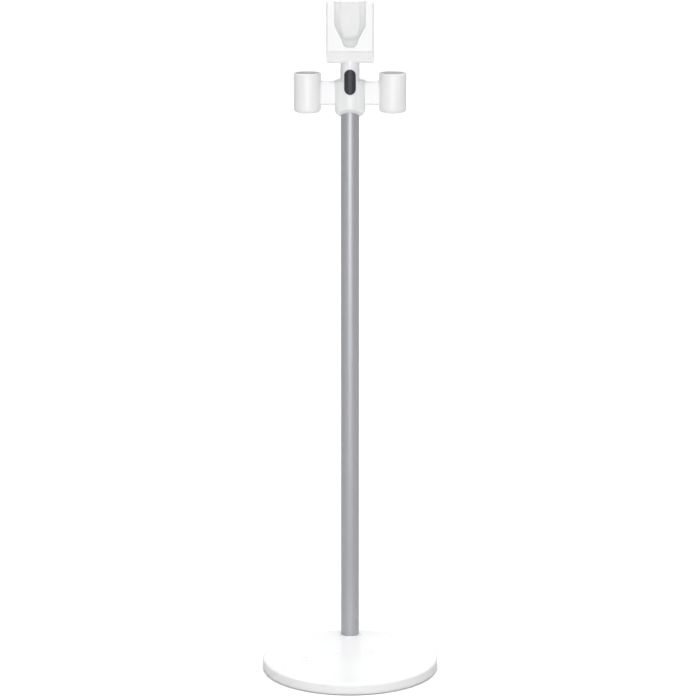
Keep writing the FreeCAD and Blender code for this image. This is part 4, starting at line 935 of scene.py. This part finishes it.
@dataclass
class ToolHolder:
    """One arm with its cup, and the pad on the cup's floor. Sizes in millimetres."""

    side: int
    wall: float = 2.4
    floor: float = 3.0
    rim_round: float = 1.1
    lead_in: float = 0.7
    foot_round: float = 6.0
    collar_radius: float = 23.6
    arm_front: float = -5.5
    arm_back: float = 14.0
    arm_low: float = 863.9
    arm_high: float = 899.8
    arm_round: float = 3.5
    blend_radius: float = 2.6

    def __post_init__(self) -> None:
        """Takes the cup's place from the frame."""
        self.word = "right" if self.side > 0 else "left"
        self.node, self.pad_node = f"{self.word}_tool_holder", f"{self.word}_cup_pad"
        low, high = box(self.node, MM)
        self.radius = (high[1] - low[1]) / 2
        self.low, self.high = low[2], high[2]
        outer = high[0] if self.side > 0 else low[0]
        self.centre = np.array([outer - self.side * self.radius, (low[1] + high[1]) / 2, 0])

    def _cup(self) -> Patch:
        """Open cup: outer wall, rounded rim, lead-in, bore and floor, turned about its axis."""
        bore, floor = self.radius - self.wall, self.low + self.floor
        inside = self.foot_round - self.wall
        section = [(0, self.low, 0), (self.radius, self.low, self.foot_round)]
        section += [(self.radius, self.high, self.rim_round), (bore + self.lead_in, self.high, 0.25)]
        section += [(bore, self.high - self.lead_in, 0.4), (bore, floor, inside), (0, floor, 0)]
        return turned_surface(rounded_path(section, False, 8), self.centre * MM, segments=128)

    def _arm(self) -> Patch:
        """Arm: a rounded upright section carried from the collar to the cup.

        At each point (y, z) of the section, x goes from the collar's round wall, sqrt(R^2 - y^2),
        to the middle of the cup's wall, c - sqrt(r^2 - y^2). Near the cup the section grows along
        its outward normal by b * (1 - sqrt(1 - s^2)), a quarter round of radius b.
        """
        front, back = self.arm_front, self.arm_back
        mid, rise = (self.arm_low + self.arm_high) / 2, (self.arm_high - self.arm_low) / 2
        corners = [(back, -rise, self.arm_round), (back, rise, self.arm_round)]
        corners += [(front, rise, self.arm_round), (front, -rise, self.arm_round)]
        section = rounded_path(corners, True, 8) / MM
        ahead, behind = np.roll(section, -1, axis=0), np.roll(section, 1, axis=0)
        run = ahead - behind
        normal = np.stack([run[:, 1], -run[:, 0]], axis=-1)
        normal /= np.linalg.norm(normal, axis=-1, keepdims=True)
        if (normal * section).sum() < 0:
            normal = -normal
        reach = abs(self.centre[0])
        wall = self.radius - self.wall / 2
        share = np.concatenate([[0.0, 0.02], np.linspace(0.1, 0.8, 8), np.linspace(0.84, 1.0, 9)])
        share = share[:, None]
        length = reach - self.radius - self.collar_radius
        near = np.clip((share * length - length + self.blend_radius) / self.blend_radius, 0, 1)
        grow = self.blend_radius * (1 - np.sqrt(1 - near**2))
        y = section[:, 0] + grow * normal[:, 0]
        z = section[:, 1] + grow * normal[:, 1] + mid
        start = np.sqrt(self.collar_radius**2 - np.clip(y, front, back) ** 2)
        stop = reach - np.sqrt(wall**2 - y**2)
        x = (1 - share) * start + share * stop
        rows = np.stack([x * self.side, y + self.centre[1], z], axis=-1)
        middle = self.centre[1] + (front + back) / 2
        first = np.broadcast_to([self.collar_radius * self.side, middle, mid], rows[:1].shape)
        last = np.broadcast_to([(reach - wall) * self.side, middle, mid], rows[:1].shape)
        return closed_grid(np.concatenate([first, rows, last]) * MM, False)

    def holder(self, coat: Coat) -> None:
        """Arm and cup as one piece."""
        add_piece(f"{self.word}_arm_and_cup", [self._cup(), self._arm()], coat, self.node)

    def pad(self, coat: Coat) -> None:
        """Soft disc with rings pressed into its top."""
        low, high = box(self.pad_node, MM)
        radius = (high[0] - low[0]) / 2
        top = [(0, high[2], 0)]
        for ring in np.arange(3.0, radius - 1.5, 3.0):
            top += [(ring - 0.6, high[2], 0.2), (ring, high[2] - 0.35, 0.2), (ring + 0.6, high[2], 0.2)]
        section = top + [(radius, high[2], 0.6), (radius, low[2], 0.2), (0, low[2], 0)]
        surface = turned_surface(rounded_path(section, False, 3), self.centre * MM, segments=72)
        add_piece(f"{self.word}_pressed_pad", [surface], coat, self.pad_node)


@dataclass
class ArmFixings:
    """The screws behind the arms and their caps. Sizes in millimetres."""

    screw: Screw = Screw(2.0, 3.4, 2.0, 10.0)

    def build(self, steel: Coat, plastic: Coat) -> None:
        """Two screws from the rear and two slightly domed caps over them."""
        low, high = box("holder_screw_caps", MM)
        radius, height = (high[2] - low[2]) / 2, (high[2] + low[2]) / 2
        reach, thick = high[0] - radius, high[1] - low[1]
        seat = box("holder_screws")[1][1] - self.screw.head_height * MM
        section = [(0, 0, 0), (radius, 0, 0.1), (radius, thick - 0.1, 0.35), (0, thick, 0)]
        profile = rounded_path(section, False, 4)
        caps, screws = [], []
        for x in (-reach, reach):
            place = np.array([x, low[1], height]) * MM
            caps.append(turned_surface(profile, place, Axis.BACK, 64))
            place = np.array([x * MM, seat, height * MM])
            screws.append(self.screw.surface(place, Axis.FRONT))
        add_piece("arm_screw_covers", caps, plastic, "holder_screw_caps")
        add_piece("arm_screws", screws, steel, "holder_screws")


@dataclass
class ReleaseButton:
    """The pill-shaped button and the rim round it. Sizes in millimetres."""

    half_width: float = 8.75
    half_height: float = 19.25
    proud: float = 0.5
    edge: float = 0.6
    flange: float = 0.8
    rim: float = 1.3
    rim_proud: float = 0.35
    fit: float = 0.1
    column_half_width: float = 14.5
    column_half_depth: float = 16.0
    boss_radius: float = 3.2
    boss_drop: float = 14.1
    peg_radius: float = 1.5
    peg_rise: float = 11.9
    outline_steps: int = 96

    def __post_init__(self) -> None:
        """Takes the button's place from the frame."""
        low, high = box("button_bezel", MM)
        self.height = (low[2] + high[2]) / 2
        self.front = low[1] + self.rim_proud
        self.tunnel_end = high[1]
        self.seat = self.tunnel_end + self.fit

    def _ring(self, half_width: float, grow: Array) -> tuple[Array, Array]:
        """Pill outline, inset or grown: x = w cos a and z = w sin a, moved up or down by H - W."""
        angle = (np.arange(self.outline_steps) + 0.5) * FULL_TURN / self.outline_steps
        width = np.maximum(half_width + grow[:, None], 0.0)
        shift = (self.half_height - self.half_width) * np.sign(np.sin(angle))
        return width * np.cos(angle), width * np.sin(angle) + shift

    def _surface_y(self, x: Array, proud: float) -> Array:
        """Depth of the column's oval front, raised by proud: y = centre - b sqrt(1 - (x / a)^2)."""
        half_width, half_depth = self.column_half_width + proud, self.column_half_depth + proud
        centre = self.front + self.column_half_depth
        return centre - half_depth * np.sqrt(1 - np.clip(x / half_width, -1, 1) ** 2)

    def _pill_rows(self, widths: Array, proud: float, drops: Array, flat: Array) -> Array:
        """Rows of pill outlines, either on the oval front and set back by drops, or at a flat y."""
        x, z = self._ring(self.half_width, widths)
        on_front = self._surface_y(x, proud) + drops[:, None]
        y = np.where(np.isnan(flat)[:, None], on_front, np.nan_to_num(flat)[:, None] * np.ones_like(x))
        return np.stack([x, y, z + self.height], axis=-1)

    def button(self, coat: Coat) -> None:
        """Button: curved face with a rounded edge, side wall, flange, push boss and spring peg."""
        arc = np.linspace(0, math.pi / 2, 7)
        seat, end = self.seat, self.seat + self.flange
        face = np.linspace(-self.half_width, -self.edge - 0.3, 8)
        walls = [0, self.flange, self.flange, 0, -self.half_width]
        widths = np.concatenate([face, self.edge * (np.sin(arc) - 1), walls])
        drops = np.concatenate([np.zeros(8), self.edge * (1 - np.cos(arc)), np.zeros(5)])
        flat = np.concatenate([np.full(15, np.nan), [seat, seat, end, end, end]])
        patches = [closed_grid(self._pill_rows(widths, self.proud, drops, flat) * MM, False)]
        back = box("release_button", MM)[1][1]
        nose = box("lock_plunger", MM)[0][1] - self.fit
        boss, peg = (self.boss_radius, -self.boss_drop, nose), (self.peg_radius, self.peg_rise, back)
        for radius, offset, stop in (boss, peg):
            rod = [(0, 0, 0), (radius, 0, 0), (radius, stop - seat, 0.3), (0, stop - seat, 0)]
            place = np.array([0, seat, self.height + offset]) * MM
            patches.append(turned_surface(rounded_path(rod, False, 3), place, Axis.BACK, 32))
        add_piece("oval_push_button", patches, coat, "release_button", body=BUTTON)

    def rim_ring(self, coat: Coat) -> None:
        """Raised rim: a pill-shaped loop of rounded section with a tunnel behind it."""
        arc = np.linspace(0, math.pi, 13)
        middle, half = (self.rim + self.fit) / 2, (self.rim - self.fit) / 2
        widths = np.concatenate([middle - half * np.cos(arc), [self.rim, self.fit]])
        drops = np.concatenate([half * (1 - np.sin(arc)) * 0.8, [0, 0]])
        flat = np.concatenate([np.full(13, np.nan), [self.tunnel_end, self.tunnel_end]])
        rows = self._pill_rows(widths, self.rim_proud, drops, flat) * MM
        add_piece("button_rim", [closed_grid(rows, True)], coat, "button_bezel")


def rear_screws(node: str, name: str, screw: Screw, places: Sequence[float], coat: Coat) -> None:
    """Screws whose heads face the rear, at the top and bottom of the node's box.

    Args:
        node: The CAD node that they stand for.
        name: The piece's name.
        screw: Their size.
        places: Their places along x, in metres.
        coat: The finish whose material they get.
    """
    low, high = box(node)
    seat, head = high[1] - screw.head_height * MM, screw.head * MM
    patches = [
        screw.surface(np.array([x, seat, z]), Axis.FRONT)
        for x in places
        for z in (low[2] + head, high[2] - head)
    ]
    add_piece(name, patches, coat, node)


@dataclass
class Head:
    """The skin of the column and collar, and its screws. Sizes in millimetres."""

    screw_x: float = 18.8
    screw: Screw = Screw(1.2, 2.1, 1.4, 11.0)

    def build(self, gloss: Coat, steel: Coat) -> None:
        """Both halves of the skin, and four screws in their deep holes."""
        softened_copy("hub_front_shell", "head_front_skin", gloss, 0)
        softened_copy("hub_rear_shell", "head_rear_skin", gloss, 0)
        reach = self.screw_x * MM
        rear_screws("hub_screws", "head_screws", self.screw, (-reach, reach), steel)


@dataclass
class Dock:
    """The slotted dock plate, the strip under it, the tongue, the box behind and its screws."""

    edge: float = 0.45
    fine_edge: float = 0.27
    corner_screw: Screw = Screw(1.5, 2.8, 1.8, 16.0)
    spine_screw: Screw = Screw(2.0, 3.6, 2.2, 13.0)

    def build(self, gloss: Coat, satin: Coat, steel: Coat) -> None:
        """All mouldings with rounded edges, and the screws at the rear."""
        softened_copy("dock_front_cover", "dock_plate", gloss, self.edge)
        softened_copy("dock_lower_trim", "dock_lower_strip", gloss, self.fine_edge)
        softened_copy("dock_rail", "dock_tongue", satin, self.edge)
        softened_copy("dock_rear_housing", "dock_back_box", gloss, self.fine_edge)
        low, high = box("dock_screws")
        head = self.corner_screw.head * MM
        corners = (low[0] + head, high[0] - head)
        rear_screws("dock_screws", "dock_corner_screws", self.corner_screw, corners, steel)
        rear_screws("spine_screws", "dock_spine_screws", self.spine_screw, (0.0,), steel)


@dataclass(frozen=True)
class Lamp:
    """One soft light that looks from its place to its target.

    Attributes:
        name: The light's name.
        kind: SUN or AREA.
        energy: Its strength, or its power in watts for an AREA.
        size: A sun's angle in radians, or a panel's width in metres.
        place: Where it stands, in metres.
        target: The point that it looks at, in metres.
    """

    name: str
    kind: str
    energy: float
    size: float
    place: Colour
    target: Colour

    def build(self) -> None:
        """Adds the light, hidden from the camera."""
        lamp = bpy.data.lights.new(self.name, self.kind)
        lamp.energy = self.energy
        if self.kind == "SUN":
            lamp.angle = self.size
        else:
            lamp.shape = "DISK"
            lamp.size = self.size
        holder = new_object(self.name, lamp)
        away = np.array(self.place, float) - np.array(self.target, float)
        tilt = math.atan2(math.hypot(away[0], away[1]), away[2])
        holder.visible_camera = False
        holder.location = self.place
        holder.rotation_euler = (tilt, 0, math.atan2(away[1], away[0]) + math.pi / 2)


@dataclass
class Studio:
    """Pale floor, soft light and the camera. Sizes in metres, angles in degrees."""

    camera_distance: float = 5.0
    camera_height: float = 1.627
    camera_pitch: float = 12.92
    lens: float = 170.0
    floor_half: float = 60.0
    lamps: tuple[Lamp, ...] = (
        Lamp("overhead_sun", "SUN", 2.9, 1.2, (0, -0.6, 6), (0, 0, 0)),
        Lamp("high_panel", "AREA", 22.0, 2.0, (0, -3.0, 2.6), (0, 0.11, 0.6)),
        Lamp("low_panel", "AREA", 31.0, 1.7, (0, -3.2, 0.35), (0, 0.11, 0.45)),
    )

    def floor(self) -> None:
        """Large plain floor with a faint, even mottle, that throws back less light than it shows."""
        h = self.floor_half
        mesh = bpy.data.meshes.new("studio_floor")
        mesh.from_pydata([(-h, -h, 0), (h, -h, 0), (h, h, 0), (-h, h, 0)], [], [(0, 1, 2, 3)])
        fixed = {"Roughness": 0.85, "Specular IOR Level": 0.1, "Emission Color": solid((1, 1, 1))}
        bench = Surface("pale_floor", fixed)
        mottle = bench.remap(bench.noise(bench.place, 3.0, 3.0), 0.3, 0.7)
        plain = bench.blend(mottle, solid((0.93, 0.93, 0.93)), solid((0.95, 0.95, 0.95)))
        seen = bench.node("ShaderNodeLightPath").outputs["Is Camera Ray"]
        colour = bench.blend(seen, solid((0.64, 0.64, 0.64)), plain)
        bench.join(bench.product(seen, 0.09), bench.shader.inputs["Emission Strength"])
        bench.join(colour, bench.shader.inputs["Base Color"])
        mesh.materials.append(bench.material)
        new_object("studio_floor", mesh)

    def world(self) -> None:
        """Soft surround with a white backdrop behind the stand, darker at the two sides."""
        world = bpy.data.worlds.new("studio_world")
        world.use_nodes = True
        bpy.context.scene.world = world
        bench = Bench(world.node_tree)
        direction = bench.node("ShaderNodeTexCoord").outputs["Generated"]
        parts = bench.node("ShaderNodeSeparateXYZ", {0: direction}).outputs
        flank = bench.remap(bench.math("ABSOLUTE", parts[0], 0.0), 0.3, 0.8, 0.22, 0.1)
        behind = bench.remap(parts[1], 0.72, 0.95, 0.1, 0.95)
        seen = bench.node("ShaderNodeLightPath").outputs["Is Camera Ray"]
        strength = bench.math("MAXIMUM", bench.math("MAXIMUM", flank, behind), seen)
        backdrop = world.node_tree.nodes["Background"].inputs
        bench.join(strength, backdrop["Strength"])
        backdrop["Color"].default_value = solid((1, 1, 1))

    def camera(self) -> None:
        """Long lens that looks a little down on the stand from the front."""
        data = bpy.data.cameras.new("studio_camera")
        data.lens = self.lens
        data.clip_start, data.clip_end = 0.05, 500.0
        holder = new_object("studio_camera", data)
        low, high = box("tube")
        holder.location = (0, (low[1] + high[1]) / 2 - self.camera_distance, self.camera_height)
        holder.rotation_euler = (math.radians(90 - self.camera_pitch), 0, 0)
        bpy.context.scene.camera = holder

    def build(self) -> None:
        """Whole studio."""
        self.floor()
        self.world()
        for lamp in self.lamps:
            lamp.build()
        self.camera()
        bpy.context.scene.view_settings.view_transform = "Standard"


def dress_cad_nodes(coats: dict[Slot, Coat]) -> None:
    """Gives every CAD node the finish of its own material slot."""
    by_name = {row["node"]: row["material_slot"] for row in frame["record"]["subparts"]}
    for name, node in frame["nodes"].items():
        for index in range(len(node.data.materials)):
            node.data.materials[index] = coats[Slot(by_name[name])].material


def main() -> None:
    """Builds every sub-assembly and the studio."""
    logging.basicConfig(level=logging.INFO, format="%(name)s: %(message)s")
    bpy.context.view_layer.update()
    effects = Effects()
    coats = {slot: Coat(slot, finish.build(effects)) for slot, finish in FINISHES.items()}
    gloss, satin, steel = coats[Slot.GLOSS], coats[Slot.SATIN], coats[Slot.STEEL]
    dress_cad_nodes(coats)
    base = Base()
    base.cover(gloss)
    base.tray(satin)
    base.feet(coats[Slot.RUBBER])
    base.screws(steel)
    post = Post()
    post.tube(coats[Slot.TUBE])
    post.ring(gloss)
    for side in (-1, 1):
        holder = ToolHolder(side)
        holder.holder(gloss)
        holder.pad(coats[Slot.PAD])
    ArmFixings().build(steel, gloss)
    button = ReleaseButton()
    button.button(coats[Slot.BUTTON])
    button.rim_ring(gloss)
    Head().build(gloss, steel)
    Dock().build(gloss, satin, steel)
    Studio().build()


if __name__ == "__main__":
    main()
